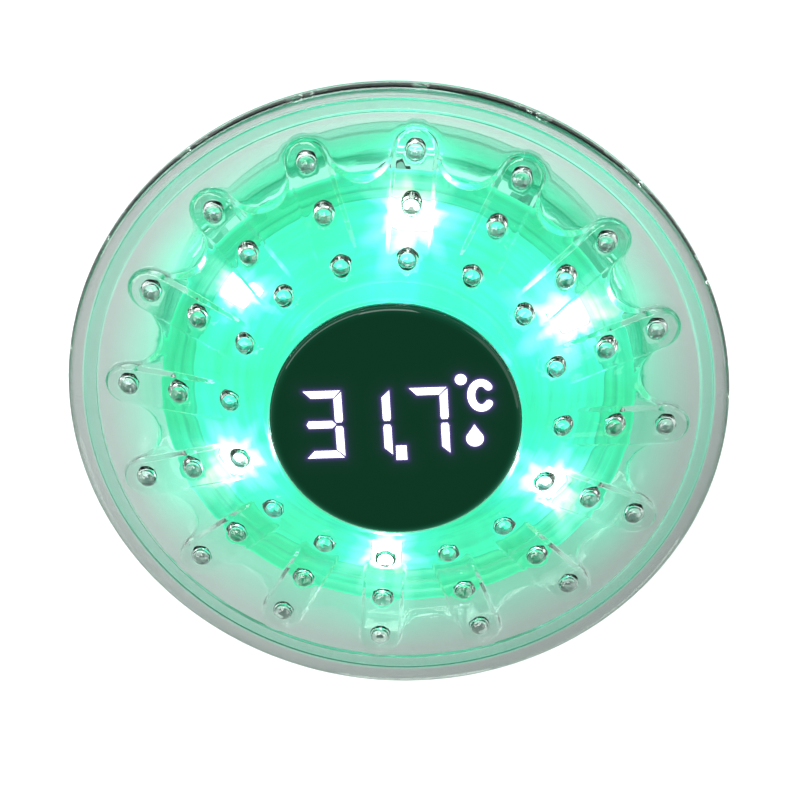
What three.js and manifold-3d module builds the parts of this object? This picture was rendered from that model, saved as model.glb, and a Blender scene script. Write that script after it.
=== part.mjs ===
// Floating pool thermometer: a clear round float with a lit temperature display.
// Millimetres, +Z up. The origin is the centre of the foot ring, on the surface it stands on.
// +X runs along the displayed digits and +Y is the way up that they are read.
import * as THREE from 'three';
import { mergeVertices } from 'three/addons/utils/BufferGeometryUtils.js';
import Module from 'manifold-3d';

const wasm = await Module();
wasm.setup();

// ---------------------------------------------------------------- driving dimensions

const OVERALL_RADIUS = 50;
const FLANGE_TOP = 24; // flat rim of the cover, above the standing surface
const COVER_FLANGE = 1.5; // thickness of the cover's rim
const HULL_FLANGE = 1.45; // thickness of the hull's rim
const RIM_GAP = 0.05; // between the two rims
const SPLIT = FLANGE_TOP - COVER_FLANGE; // underside of the cover's rim
const HULL_TOP = SPLIT - RIM_GAP;
const EDGE_CHAMFER = 0.5;

const FINE_STEPS = 48; // facets round the large shells
const ROUND_STEPS = 32; // facets round the middle-sized pieces
const SMALL_STEPS = 12; // facets round pins, screws and other small pieces
const CORNER_STEPS = 4; // facets along one rounded corner or end
const BUTTON_STEPS = 20; // facets round the button, the probe and the cells
const SMALL_GAP = 0.05; // between pieces that rest on each other
const OVERSHOOT = 1; // how far a cutter runs past what it cuts

const FINGERS = {
  count: 16,
  turn: THREE.MathUtils.degToRad(-6.9), // the first finger, from the way up of the digits
  halfWidth: 3,
  inner: 24, // buried under the dome here
  tip: 40.7, // centre of the round end
  tipRise: 1.56, // top of the finger there, above the rim
  slope: 0.21,
};
const BUMPS = { radius: 1.35, rings: [24.9, 32.7, 40.5], steps: 6, bands: 4 };
const SCALLOP = { tipRadius: 3.3, valleyCentre: 41.2, tipSteps: 4, valleySteps: 4 };
const DOME = { step: 0.7, rise: 6.4, crown: 10, foot: 45, rings: 6 };
const CAVITY = { radius: 36.5, seat: 21 }; // a cone between the rim's underside and the window's seat

const LENS = {
  radius: 18.8,
  edgeTop: FLANGE_TOP + 6.3,
  top: FLANGE_TOP + 7.4,
  bottom: FLANGE_TOP + 5.35,
  shoulderRadius: 18.5,
  shoulderTop: FLANGE_TOP + 7.05,
  faceRadius: 17.7,
  footRadius: 18.4,
};
const LEDGE = { outer: 19.1, inner: 16.5, top: FLANGE_TOP + 4.9, thickness: 1.4 };
const LENS_SEAL = { inner: 16.8, outer: 18.5, thickness: 0.4, gap: 0.02 };

const CUP = { outer: 36.6, wall: 1.45, fillet: 8, footInner: 33.6, footChamfer: 0.8, filletSteps: 4 };
const PLATE = { bottom: 3, thickness: 1.8 }; // the hull's floor, recessed above the foot ring
const PLATE_TOP = PLATE.bottom + PLATE.thickness;
const GASKET = { inner: 45.75, outer: 47.65, height: 1, clearance: 0.1 };

const CELL = {
  radius: 5.25,
  length: 44.5,
  pitch: 11.1,
  height: 9.25,
  nubRadius: 1.9,
  nubLength: 0.8,
  rim: 0.5,
};
const SPRING = { wire: 0.25, wide: 3.2, narrow: 1.9, turns: 2, steps: 22, sides: 5 };
const CONTACT = { halfThickness: 0.2, halfSide: 3.6 };
const BATTERY_LEAD = { radius: 0.65, y: 7, start: 7, bow: 1.3, topGap: 0.15, steps: 10, sides: 8 };
const BAY = { halfLength: 24.8, halfWidth: 16.9, corner: 2 }; // opening in the hull's floor
const TRAY = { innerHalfLength: 24.7, innerHalfWidth: 16.8, wall: 1.2, top: 15.6, roof: 0.9 };

const DOOR = { radius: 33.2, halfWidth: 19.6, bottom: 0.9, thickness: 1.8 };
const DOOR_TOP = DOOR.bottom + DOOR.thickness;
const DOOR_FRAME = { gap: 0.3, wall: 1.2, top: 4.6 };
const DOOR_GASKET = { inset: 0.4, width: 1.2, depth: 0.8, gap: 0.05 };
const DOOR_SCREW = { x: 29.2, headRadius: 2.4, headHeight: 1.1, shaftRadius: 1.2, top: 9, clearance: 0.3 };
const SCREW_SLOT = 0.5;
const DOOR_BOSS = { radius: 3, top: 10.2, boreRadius: 1.6, boreTop: 9.4 };

const BOARD = { radius: 33.2, bottom: 15.9, thickness: 1 };
const BOARD_TOP = BOARD.bottom + BOARD.thickness;
const POST = { ring: 29.5, radius: 2.6, angles: [50, 130, 230, 310], boreRadius: 0.95, boreDepth: 6 };
const BOARD_SCREW = { headRadius: 2.1, headHeight: 0.9, shaftRadius: 0.8, length: 5, holeRadius: 1.2 };
const CONTROLLER = { x: -6, y: -4, half: 3.6, height: 1.1 };
const DRIVER = { x: 6, y: -5, halfLength: 2.5, halfWidth: 2, height: 1 };
const CAPACITOR = { x: 6, y: 2, radius: 2.2, height: 2.2 };

const LED = { count: 6, ring: 28.7, half: 2.3, corner: 0.6, height: 1.6 };
const REFLECTOR = {
  tubeInner: 16.6,
  tubeTop: 27.2,
  wall: 0.9,
  floor: 18,
  floorRadius: 31.2,
  rimRadius: 35.75,
  rimTop: 20.5,
  window: 2.45,
};

const SHROUD = { outer: 16.2, wall: 0.7, bottom: 19.5, floor: 0.9, top: 28.9 };
const DISPLAY_BOARD = { radius: 15.2, bottom: 24, thickness: 1 };
const DISPLAY_MODULE = { radius: 15.2, gap: 0.05, height: 3.55 };
const HEADER = { y: 9, halfLength: 6.25, halfWidth: 1.2, slotMargin: 0.4 };

const BUTTON = {
  y: -25.6,
  capRadius: 4.4,
  capBottom: 1.6,
  capCrown: 0.4,
  holeRadius: 4.9,
  flangeRadius: 5.9,
  flangeBottom: 4.9,
  flangeHeight: 1.1,
  pusherRadius: 1.9,
  pusherTop: 8.6,
};
const RETAINER = { inner: 6.2, outer: 7, top: 8.2, cap: 0.9, hole: 2.4 };
const SWITCH = { side: 6.4, bottom: 10, boreRadius: 2, boreTop: 14.4, plungerRadius: 1.6, plungerTop: 13.2 };

const PROBE = {
  y: 25.6,
  radius: 3,
  wall: 0.6,
  bottom: 1,
  nose: 0.9,
  top: 6.6,
  flangeRadius: 4.8,
  flangeHeight: 0.7,
};
const PROBE_SEAL = { inner: 3.35, outer: 4.7 };
const PROBE_HOLE = 3.3;
const THERMISTOR = { radius: 1.1, height: 3, steps: 10, bands: 6 };
const LEAD = { radius: 0.5, start: 4.2, bow: 1.6, topGap: 0.1, sides: 6, steps: 8 };
const ELECTRODE = { x: 11, y: 25, headRadius: 2, headHeight: 1.25, shaftRadius: 1.1, hole: 1.4 };

// ---------------------------------------------------------------- solids and meshes

/** A closed three.js geometry as a solid that can be joined and cut. */
function solid(geometry) {
  const bare = geometry.index ? geometry.toNonIndexed() : geometry.clone();
  bare.deleteAttribute('normal');
  bare.deleteAttribute('uv');
  const merged = mergeVertices(bare);
  const corners = merged.index.array;
  const kept = [];
  for (let i = 0; i < corners.length; i += 3) {
    const [a, b, c] = corners.subarray(i, i + 3);
    if (a !== b && b !== c && c !== a) kept.push(a, b, c);
  }
  return new wasm.Manifold(new wasm.Mesh({
    numProp: 3,
    vertProperties: Float32Array.from(merged.attributes.position.array),
    triVerts: Uint32Array.from(kept),
  }));
}

/** A solid as a geometry for a mesh. */
function geometryOf(body) {
  const { vertProperties, triVerts } = body.getMesh();
  const geometry = new THREE.BufferGeometry();
  geometry.setAttribute('position', new THREE.BufferAttribute(vertProperties, 3));
  geometry.setIndex(new THREE.BufferAttribute(triVerts, 1));
  geometry.computeVertexNormals();
  return geometry;
}

const thermometer = new THREE.Group();

/** Adds one named piece with a material of its own. */
function addPart(name, body, look) {
  const mesh = new THREE.Mesh(geometryOf(body), new THREE.MeshStandardMaterial(look));
  mesh.name = name;
  thermometer.add(mesh);
}

function joined(bodies) {
  return bodies.reduce((whole, body) => whole.add(body));
}

function cutAway(body, cutters) {
  return cutters.reduce((left, cutter) => left.subtract(cutter), body);
}

// ---------------------------------------------------------------- basic shapes

/** Turns an outline of [radius, height] pairs, listed anticlockwise, about +Z at a place. */
function turned(outline, steps, x = 0, y = 0) {
  const points = outline.map(([radius, height]) => new THREE.Vector2(radius, height));
  if (outline[0][0] !== 0) points.push(points[0].clone());
  const geometry = new THREE.LatheGeometry(points, steps);
  return solid(geometry.rotateX(Math.PI / 2).translate(x, y, 0));
}

function disc(radius, bottom, top, steps, x = 0, y = 0) {
  return turned([[0, bottom], [radius, bottom], [radius, top], [0, top]], steps, x, y);
}

function ring(inner, outer, bottom, top, steps, x = 0, y = 0) {
  return turned([[inner, bottom], [outer, bottom], [outer, top], [inner, top]], steps, x, y);
}

/** A straight prism of a flat outline, from one height to another. */
function prism(shape, bottom, top, curveSegments = CORNER_STEPS) {
  const form = { depth: top - bottom, bevelEnabled: false, curveSegments };
  return solid(new THREE.ExtrudeGeometry(shape, form).translate(0, 0, bottom));
}

function block(halfLength, halfWidth, bottom, top, x = 0, y = 0) {
  const geometry = new THREE.BoxGeometry(2 * halfLength, 2 * halfWidth, top - bottom);
  return solid(geometry.translate(x, y, (bottom + top) / 2));
}

function roundedRectangle(halfLength, halfWidth, corner) {
  const shape = new THREE.Shape();
  const straightX = halfLength - corner;
  const straightY = halfWidth - corner;
  shape.absarc(straightX, -straightY, corner, -Math.PI / 2, 0);
  shape.absarc(straightX, straightY, corner, 0, Math.PI / 2);
  shape.absarc(-straightX, straightY, corner, Math.PI / 2, Math.PI);
  shape.absarc(-straightX, -straightY, corner, Math.PI, 1.5 * Math.PI);
  return shape;
}

/** A round wire along a smooth curve through some points. */
function wire(points, radius, steps, sides) {
  const corners = [];
  for (let i = 0; i < sides; i += 1) {
    const angle = (2 * Math.PI * i) / sides;
    corners.push(new THREE.Vector2(radius * Math.cos(angle), radius * Math.sin(angle)));
  }
  const path = new THREE.CatmullRomCurve3(points.map((point) => new THREE.Vector3(...point)));
  const form = { steps, extrudePath: path, bevelEnabled: false };
  return solid(new THREE.ExtrudeGeometry(new THREE.Shape(corners), form));
}

/** The direction, from +X, of an angle counted clockwise from the first finger. */
function directionOf(angle) {
  return Math.PI / 2 + FINGERS.turn - angle;
}

/** The place at an angle round a ring, where 0 is the first finger's direction. */
function onRing(radius, angle) {
  const turn = directionOf(angle);
  return [radius * Math.cos(turn), radius * Math.sin(turn)];
}

// ---------------------------------------------------------------- top cover

/** Height of the dome's upper surface: an S-shaped rise from the rim to the crown. */
function domeTop(radius) {
  const along = THREE.MathUtils.clamp((radius - DOME.crown) / (DOME.foot - DOME.crown), 0, 1);
  return FLANGE_TOP + DOME.step + (DOME.rise * (1 + Math.cos(Math.PI * along))) / 2;
}

function fingerTop(radius) {
  return FLANGE_TOP + FINGERS.tipRise + (FINGERS.tip - radius) * FINGERS.slope;
}

/** The scalloped outline: a round tip over each finger and a round valley between two. */
function flowerOutline() {
  const half = Math.PI / FINGERS.count;
  const tip = new THREE.Vector2(FINGERS.tip, 0);
  const valley = new THREE.Vector2(SCALLOP.valleyCentre, 0).rotateAround(new THREE.Vector2(), half);
  const towards = valley.clone().sub(tip);
  const lean = towards.angle();
  const valleyRadius = towards.length() - SCALLOP.tipRadius;
  const around = (centre, radius, angle) => new THREE.Vector2(radius, 0)
    .rotateAround(new THREE.Vector2(), angle).add(centre);
  const petal = [];
  for (let i = 0; i < SCALLOP.tipSteps; i += 1) {
    petal.push(around(tip, SCALLOP.tipRadius, lean * ((2 * i) / SCALLOP.tipSteps - 1)));
  }
  for (let i = 0; i < SCALLOP.valleySteps; i += 1) {
    const angle = lean + Math.PI - (2 * (lean - half) * i) / SCALLOP.valleySteps;
    petal.push(around(valley, valleyRadius, angle));
  }
  const outline = [];
  for (let finger = 0; finger < FINGERS.count; finger += 1) {
    const turn = Math.PI / 2 + FINGERS.turn + (2 * Math.PI * finger) / FINGERS.count;
    outline.push(...petal.map((point) => point.clone().rotateAround(new THREE.Vector2(), turn)));
  }
  return new THREE.Shape(outline);
}

/** The domed middle, before it is trimmed to the scalloped outline. */
function domeOfRevolution(base) {
  const outline = [[0, base], [DOME.foot, base]];
  for (let i = 0; i <= DOME.rings; i += 1) {
    const radius = DOME.foot + ((DOME.crown - DOME.foot) * i) / DOME.rings;
    outline.push([radius, domeTop(radius)]);
  }
  outline.push([0, domeTop(0)]);
  return turned(outline, FINE_STEPS);
}

/** One raised finger along +X: a round-ended bar with a sloping flat top. */
function fingerGeometry(base) {
  const end = FINGERS.tip + FINGERS.halfWidth;
  const plan = new THREE.Shape();
  plan.moveTo(FINGERS.inner, -FINGERS.halfWidth);
  plan.lineTo(FINGERS.tip, -FINGERS.halfWidth);
  plan.absarc(FINGERS.tip, 0, FINGERS.halfWidth, -Math.PI / 2, Math.PI / 2);
  plan.lineTo(FINGERS.inner, FINGERS.halfWidth);
  const [near, far] = [FINGERS.inner - OVERSHOOT, end + OVERSHOOT];
  const side = new THREE.Shape([
    new THREE.Vector2(near, base),
    new THREE.Vector2(far, base),
    new THREE.Vector2(far, fingerTop(far)),
    new THREE.Vector2(near, fingerTop(near)),
  ]);
  const width = 2 * (FINGERS.halfWidth + OVERSHOOT);
  const profile = new THREE.ExtrudeGeometry(side, { depth: width, bevelEnabled: false });
  profile.translate(0, 0, -width / 2).rotateX(Math.PI / 2);
  return geometryOf(prism(plan, base, FLANGE_TOP + DOME.rise).intersect(solid(profile)));
}

function topCover() {
  const base = FLANGE_TOP - COVER_FLANGE / 2;
  const rim = turned([
    [0, SPLIT],
    [OVERALL_RADIUS, SPLIT],
    [OVERALL_RADIUS, FLANGE_TOP - EDGE_CHAMFER],
    [OVERALL_RADIUS - EDGE_CHAMFER, FLANGE_TOP],
    [0, FLANGE_TOP],
  ], FINE_STEPS);
  const flower = prism(flowerOutline(), base, domeTop(0) + OVERSHOOT);
  const raised = [rim, domeOfRevolution(base).intersect(flower)];
  const finger = fingerGeometry(base);
  const bump = new THREE.SphereGeometry(BUMPS.radius, BUMPS.steps, BUMPS.bands).rotateX(Math.PI / 2);
  for (let i = 0; i < FINGERS.count; i += 1) {
    const turn = (2 * Math.PI * i) / FINGERS.count;
    raised.push(solid(finger.clone().rotateZ(Math.PI / 2 + FINGERS.turn - turn)));
    for (const radius of BUMPS.rings) {
      const [x, y] = onRing(radius, turn);
      const height = Math.max(domeTop(radius), fingerTop(radius));
      raised.push(solid(bump.clone().rotateZ(-turn).translate(x, y, height)));
    }
  }
  const ceiling = LEDGE.top - LEDGE.thickness;
  const mouth = SPLIT - OVERSHOOT;
  const hollow = [
    [0, mouth],
    [CAVITY.radius, mouth],
    [CAVITY.radius, SPLIT],
    [CAVITY.seat, ceiling],
    [0, ceiling],
  ];
  return cutAway(joined(raised), [
    turned(hollow, FINE_STEPS),
    disc(LEDGE.inner, SPLIT, LENS.top, FINE_STEPS),
    disc(LEDGE.outer, LEDGE.top, LENS.top, FINE_STEPS),
  ]);
}

// ---------------------------------------------------------------- window and display

function displayLens() {
  return turned([
    [0, LENS.bottom],
    [LENS.footRadius, LENS.bottom],
    [LENS.radius, LENS.bottom + LENS.radius - LENS.footRadius],
    [LENS.radius, LENS.edgeTop],
    [LENS.shoulderRadius, LENS.shoulderTop],
    [LENS.faceRadius, LENS.top],
    [0, LENS.top],
  ], FINE_STEPS);
}

function lensSeal() {
  const bottom = LEDGE.top + LENS_SEAL.gap;
  return ring(LENS_SEAL.inner, LENS_SEAL.outer, bottom, bottom + LENS_SEAL.thickness, ROUND_STEPS);
}

function displayShroud() {
  const { outer, wall, bottom, floor, top } = SHROUD;
  const cup = turned([
    [0, bottom],
    [outer, bottom],
    [outer, top],
    [outer - wall, top],
    [outer - wall, bottom + floor],
    [0, bottom + floor],
  ], ROUND_STEPS);
  const slot = block(HEADER.halfLength + HEADER.slotMargin, HEADER.halfWidth + HEADER.slotMargin,
    bottom - OVERSHOOT, bottom + floor + OVERSHOOT, 0, HEADER.y);
  return cup.subtract(slot);
}

function displayParts() {
  const boardTop = DISPLAY_BOARD.bottom + DISPLAY_BOARD.thickness;
  const moduleBottom = boardTop + DISPLAY_MODULE.gap;
  const headerTop = DISPLAY_BOARD.bottom - SMALL_GAP;
  addPart('display_lens', displayLens(), { color: 0x03110c, roughness: 0.06, metalness: 0 });
  addPart('lens_seal', lensSeal(), { color: 0x141618, roughness: 0.7, metalness: 0 });
  addPart('display_shroud', displayShroud(), { color: 0x0c0d0e, roughness: 0.6, metalness: 0 });
  addPart('display_module', disc(DISPLAY_MODULE.radius, moduleBottom, moduleBottom + DISPLAY_MODULE.height,
    ROUND_STEPS), { color: 0x16181b, roughness: 0.35, metalness: 0 });
  addPart('display_board', disc(DISPLAY_BOARD.radius, DISPLAY_BOARD.bottom, boardTop, ROUND_STEPS),
    { color: 0x145c3a, roughness: 0.5, metalness: 0 });
  const header = block(HEADER.halfLength, HEADER.halfWidth, BOARD_TOP + SMALL_GAP, headerTop, 0, HEADER.y);
  addPart('pin_header', header, { color: 0x1a1a1c, roughness: 0.5, metalness: 0 });
}

// ---------------------------------------------------------------- lower hull

/** The hull's outline: floor, foot ring, cup wall and a wide rim joined by a round fillet. */
function hullOutline() {
  const filletX = CUP.outer + CUP.fillet;
  const filletZ = HULL_TOP - HULL_FLANGE - CUP.fillet;
  const groove = HULL_TOP - GASKET.height - GASKET.clearance;
  const outline = [
    [0, PLATE.bottom],
    [CUP.footInner, PLATE.bottom],
    [CUP.footInner, 0],
    [CUP.outer - CUP.footChamfer, 0],
    [CUP.outer, CUP.footChamfer],
  ];
  for (let i = 0; i <= CUP.filletSteps; i += 1) {
    const angle = (Math.PI * i) / (2 * CUP.filletSteps);
    outline.push([filletX - CUP.fillet * Math.cos(angle), filletZ + CUP.fillet * Math.sin(angle)]);
  }
  outline.push(
    [OVERALL_RADIUS - EDGE_CHAMFER, HULL_TOP - HULL_FLANGE],
    [OVERALL_RADIUS, HULL_TOP - HULL_FLANGE + EDGE_CHAMFER],
    [OVERALL_RADIUS, HULL_TOP],
    [GASKET.outer + GASKET.clearance, HULL_TOP],
    [GASKET.outer + GASKET.clearance, groove],
    [GASKET.inner - GASKET.clearance, groove],
    [GASKET.inner - GASKET.clearance, HULL_TOP],
  );
  const inner = CUP.fillet + HULL_FLANGE;
  for (let i = CUP.filletSteps; i >= 0; i -= 1) {
    const angle = (Math.PI * i) / (2 * CUP.filletSteps);
    outline.push([filletX - inner * Math.cos(angle), filletZ + inner * Math.sin(angle)]);
  }
  outline.push([CUP.outer - CUP.wall, PLATE_TOP], [0, PLATE_TOP]);
  return outline;
}

function postPlaces() {
  return POST.angles.map((degrees) => {
    const angle = THREE.MathUtils.degToRad(degrees);
    return [POST.ring * Math.cos(angle), POST.ring * Math.sin(angle)];
  });
}

function lowerHull() {
  const below = PLATE.bottom - OVERSHOOT;
  const above = PLATE_TOP + OVERSHOOT;
  const rooted = PLATE.bottom + PLATE.thickness / 2;
  const postTop = BOARD.bottom - SMALL_GAP;
  const posts = postPlaces().map(([x, y]) => disc(POST.radius, rooted, postTop, SMALL_STEPS, x, y));
  const bosses = [-1, 1].map((side) => disc(DOOR_BOSS.radius, rooted, DOOR_BOSS.top, SMALL_STEPS,
    side * DOOR_SCREW.x));
  const postBores = postPlaces().map(([x, y]) => disc(POST.boreRadius, postTop - POST.boreDepth,
    postTop + OVERSHOOT, SMALL_STEPS, x, y));
  const bossBores = [-1, 1].map((side) => disc(DOOR_BOSS.boreRadius, below, DOOR_BOSS.boreTop, SMALL_STEPS,
    side * DOOR_SCREW.x));
  const pinHoles = [-1, 1].map((side) => disc(ELECTRODE.hole, below, above, SMALL_STEPS,
    side * ELECTRODE.x, ELECTRODE.y));
  return cutAway(joined([turned(hullOutline(), FINE_STEPS), ...posts, ...bosses]), [
    prism(roundedRectangle(BAY.halfLength, BAY.halfWidth, BAY.corner), below, above),
    disc(BUTTON.holeRadius, below, above, SMALL_STEPS, 0, BUTTON.y),
    disc(PROBE_HOLE, below, above, SMALL_STEPS, 0, PROBE.y),
    ...postBores,
    ...bossBores,
    ...pinHoles,
  ]);
}

function rimGasket() {
  return ring(GASKET.inner, GASKET.outer, HULL_TOP - GASKET.height, HULL_TOP, FINE_STEPS);
}

// ---------------------------------------------------------------- light and circuit board

/** A round-cornered square prism that stands at one LED and faces the centre. */
function squareAtLed(index, half, bottom, top) {
  const angle = (2 * Math.PI * index) / LED.count;
  const [x, y] = onRing(LED.ring, angle);
  const upright = prism(roundedRectangle(half, half, LED.corner), bottom, top);
  return solid(geometryOf(upright).rotateZ(directionOf(angle)).translate(x, y, 0));
}

function reflector() {
  const { tubeInner, tubeTop, wall, floor, floorRadius, rimRadius, rimTop } = REFLECTOR;
  const dish = turned([
    [tubeInner, floor],
    [floorRadius + wall / 3, floor],
    [rimRadius, rimTop - wall],
    [rimRadius, rimTop],
    [floorRadius, floor + wall],
    [tubeInner + wall, floor + wall],
    [tubeInner + wall, tubeTop],
    [tubeInner, tubeTop],
  ], ROUND_STEPS);
  const windows = [];
  for (let i = 0; i < LED.count; i += 1) {
    windows.push(squareAtLed(i, REFLECTOR.window, floor - OVERSHOOT, floor + wall + OVERSHOOT));
  }
  return cutAway(dish, windows);
}

function ledBody(index) {
  const bottom = BOARD_TOP + SMALL_GAP;
  return squareAtLed(index, LED.half, bottom, bottom + LED.height);
}

function mainBoard() {
  const holes = postPlaces().map(([x, y]) => disc(BOARD_SCREW.holeRadius, BOARD.bottom - OVERSHOOT,
    BOARD_TOP + OVERSHOOT, SMALL_STEPS, x, y));
  return cutAway(disc(BOARD.radius, BOARD.bottom, BOARD_TOP, ROUND_STEPS), holes);
}

/** A screw with its head above or below its shaft and a straight slot across the head. */
function screw(x, y, headBase, headTop, shaftEnd, headRadius, shaftRadius) {
  const slotDepth = (headTop - headBase) / 2;
  const body = disc(headRadius, Math.min(headBase, headTop), Math.max(headBase, headTop), SMALL_STEPS, x, y)
    .add(disc(shaftRadius, Math.min(headBase, shaftEnd), Math.max(headBase, shaftEnd), SMALL_STEPS, x, y));
  const slotFloor = headTop - slotDepth;
  const slotMouth = headTop + slotDepth;
  return body.subtract(block(headRadius + OVERSHOOT, SCREW_SLOT / 2, Math.min(slotFloor, slotMouth),
    Math.max(slotFloor, slotMouth), x, y));
}

function boardParts() {
  addPart('reflector', reflector(), { color: 0x6df5c8, roughness: 0.35, metalness: 0 });
  addPart('main_board', mainBoard(), { color: 0x145c3a, roughness: 0.5, metalness: 0 });
  const base = BOARD_TOP + SMALL_GAP;
  for (let i = 0; i < LED.count; i += 1) {
    addPart(`led_${i + 1}`, ledBody(i), { color: 0xf4fff9, roughness: 0.2, metalness: 0 });
  }
  postPlaces().forEach(([x, y], i) => {
    const top = base + BOARD_SCREW.headHeight;
    const end = base - BOARD_SCREW.length;
    addPart(`board_screw_${i + 1}`, screw(x, y, base, top, end, BOARD_SCREW.headRadius,
      BOARD_SCREW.shaftRadius), { color: 0xb9bcc0, roughness: 0.35, metalness: 1 });
  });
  const chip = { color: 0x17181a, roughness: 0.45, metalness: 0 };
  addPart('controller_chip', block(CONTROLLER.half, CONTROLLER.half, base, base + CONTROLLER.height,
    CONTROLLER.x, CONTROLLER.y), chip);
  addPart('led_driver_chip', block(DRIVER.halfLength, DRIVER.halfWidth, base, base + DRIVER.height,
    DRIVER.x, DRIVER.y), chip);
  addPart('buffer_capacitor', disc(CAPACITOR.radius, base, base + CAPACITOR.height, SMALL_STEPS,
    CAPACITOR.x, CAPACITOR.y), { color: 0xa9adb2, roughness: 0.3, metalness: 1 });
}

// ---------------------------------------------------------------- batteries

function batteryTray() {
  const bottom = PLATE_TOP + SMALL_GAP;
  const outer = block(TRAY.innerHalfLength + TRAY.wall, TRAY.innerHalfWidth + TRAY.wall, bottom, TRAY.top);
  const inner = block(TRAY.innerHalfLength, TRAY.innerHalfWidth, bottom - OVERSHOOT, TRAY.top - TRAY.roof);
  return outer.subtract(inner);
}

/** A lying AAA cell, with its raised end towards +X or -X. */
function cell(y, way) {
  const { radius, length, nubRadius, nubLength, rim, height } = CELL;
  const half = length / 2;
  const geometry = new THREE.LatheGeometry([
    [0, -half], [radius - rim, -half], [radius, rim - half], [radius, half - nubLength - rim],
    [radius - rim, half - nubLength], [nubRadius, half - nubLength], [nubRadius, half], [0, half],
  ].map(([x, z]) => new THREE.Vector2(x, z)), BUTTON_STEPS);
  return solid(geometry.rotateZ((-Math.PI / 2) * way).translate(0, y, height));
}

/** A conical contact spring between the tray's end wall and the flat end of a cell. */
function contactSpring(y, way) {
  const start = TRAY.innerHalfLength - SPRING.wire - SMALL_GAP;
  const end = CELL.length / 2 + SPRING.wire + SMALL_GAP;
  const points = [];
  for (let i = 0; i <= SPRING.steps; i += 1) {
    const along = i / SPRING.steps;
    const angle = 2 * Math.PI * SPRING.turns * along;
    const radius = THREE.MathUtils.lerp(SPRING.wide, SPRING.narrow, along);
    const x = way * THREE.MathUtils.lerp(start, end, along);
    points.push([x, y + radius * Math.cos(angle), CELL.height + radius * Math.sin(angle)]);
  }
  return wire(points, SPRING.wire, SPRING.steps, SPRING.sides);
}

function contactPlate(y, way) {
  const x = way * (TRAY.innerHalfLength - CONTACT.halfThickness - SMALL_GAP);
  return block(CONTACT.halfThickness, CONTACT.halfSide, CELL.height - CONTACT.halfSide,
    CELL.height + CONTACT.halfSide, x, y);
}

function batteryParts() {
  const metal = { color: 0xc9cacb, roughness: 0.3, metalness: 1 };
  addPart('battery_tray', batteryTray(), { color: 0xe9ecee, roughness: 0.5, metalness: 0 });
  [-1, 0, 1].forEach((place, i) => {
    const y = place * CELL.pitch;
    const way = place === 0 ? -1 : 1;
    addPart(`battery_${i + 1}`, cell(y, way), { color: 0x2b6f8f, roughness: 0.35, metalness: 0.3 });
    addPart(`contact_spring_${i + 1}`, contactSpring(y, -way), metal);
    addPart(`contact_plate_${i + 1}`, contactPlate(y, way), metal);
  });
  const lead = BATTERY_LEAD;
  const wallX = TRAY.innerHalfLength + TRAY.wall + lead.radius + SMALL_GAP;
  const top = BOARD.bottom - lead.topGap;
  const leads = [['battery_lead_red', 1, 0xc22a22], ['battery_lead_black', -1, 0x18181a]];
  for (const [name, side, color] of leads) {
    const y = side * lead.y;
    const route = [[wallX, y, lead.start], [wallX + lead.bow, y, (lead.start + top) / 2], [wallX, y, top]];
    addPart(name, wire(route, lead.radius, lead.steps, lead.sides), { color, roughness: 0.5, metalness: 0 });
  }
}

// ---------------------------------------------------------------- battery door

/** A disc with two straight sides. */
function doorOutline() {
  const reach = Math.asin(DOOR.halfWidth / DOOR.radius);
  const shape = new THREE.Shape();
  shape.absarc(0, 0, DOOR.radius, -reach, reach);
  shape.absarc(0, 0, DOOR.radius, Math.PI - reach, Math.PI + reach);
  return shape;
}

/** A rounded rectangular ring round the battery opening, by how far its two edges lie outside it. */
function bayRing(innerMargin, outerMargin, bottom, top) {
  const { halfLength, halfWidth, corner } = BAY;
  const grown = (margin) => roundedRectangle(halfLength + margin, halfWidth + margin, corner + margin);
  return prism(grown(outerMargin), bottom, top).subtract(prism(grown(innerMargin), bottom - OVERSHOOT,
    top + OVERSHOOT));
}

function batteryDoor() {
  const { gap, wall, top } = DOOR_FRAME;
  const frame = bayRing(-gap - wall, -gap, DOOR_TOP - SMALL_GAP, top);
  const groove = bayRing(DOOR_GASKET.inset - SMALL_GAP, DOOR_GASKET.inset + DOOR_GASKET.width + SMALL_GAP,
    DOOR_TOP - DOOR_GASKET.depth, DOOR_TOP + OVERSHOOT);
  const screwHoles = [];
  for (const side of [-1, 1]) {
    const x = side * DOOR_SCREW.x;
    screwHoles.push(disc(DOOR_SCREW.shaftRadius + DOOR_SCREW.clearance, DOOR.bottom - OVERSHOOT,
      DOOR_TOP + OVERSHOOT, SMALL_STEPS, x));
    screwHoles.push(disc(DOOR_SCREW.headRadius + DOOR_SCREW.clearance, DOOR.bottom - OVERSHOOT,
      DOOR.bottom + DOOR_SCREW.headHeight, SMALL_STEPS, x));
  }
  const panel = prism(doorOutline(), DOOR.bottom, DOOR_TOP, SMALL_STEPS);
  return cutAway(panel.add(frame), [groove, ...screwHoles]);
}

function doorParts() {
  const gasketBottom = DOOR_TOP - DOOR_GASKET.depth + SMALL_GAP;
  addPart('battery_door', batteryDoor(), { color: 0xdfe9e6, roughness: 0.3, metalness: 0 });
  addPart('door_gasket', bayRing(DOOR_GASKET.inset, DOOR_GASKET.inset + DOOR_GASKET.width, gasketBottom,
    PLATE.bottom - DOOR_GASKET.gap), { color: 0x2a2c2e, roughness: 0.8, metalness: 0 });
  [-1, 1].forEach((side, i) => {
    const headBase = DOOR.bottom + DOOR_SCREW.headHeight - SMALL_GAP;
    addPart(`door_screw_${i + 1}`, screw(side * DOOR_SCREW.x, 0, headBase, DOOR.bottom, DOOR_SCREW.top,
      DOOR_SCREW.headRadius, DOOR_SCREW.shaftRadius), { color: 0xb9bcc0, roughness: 0.35, metalness: 1 });
  });
}

// ---------------------------------------------------------------- power button

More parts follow.
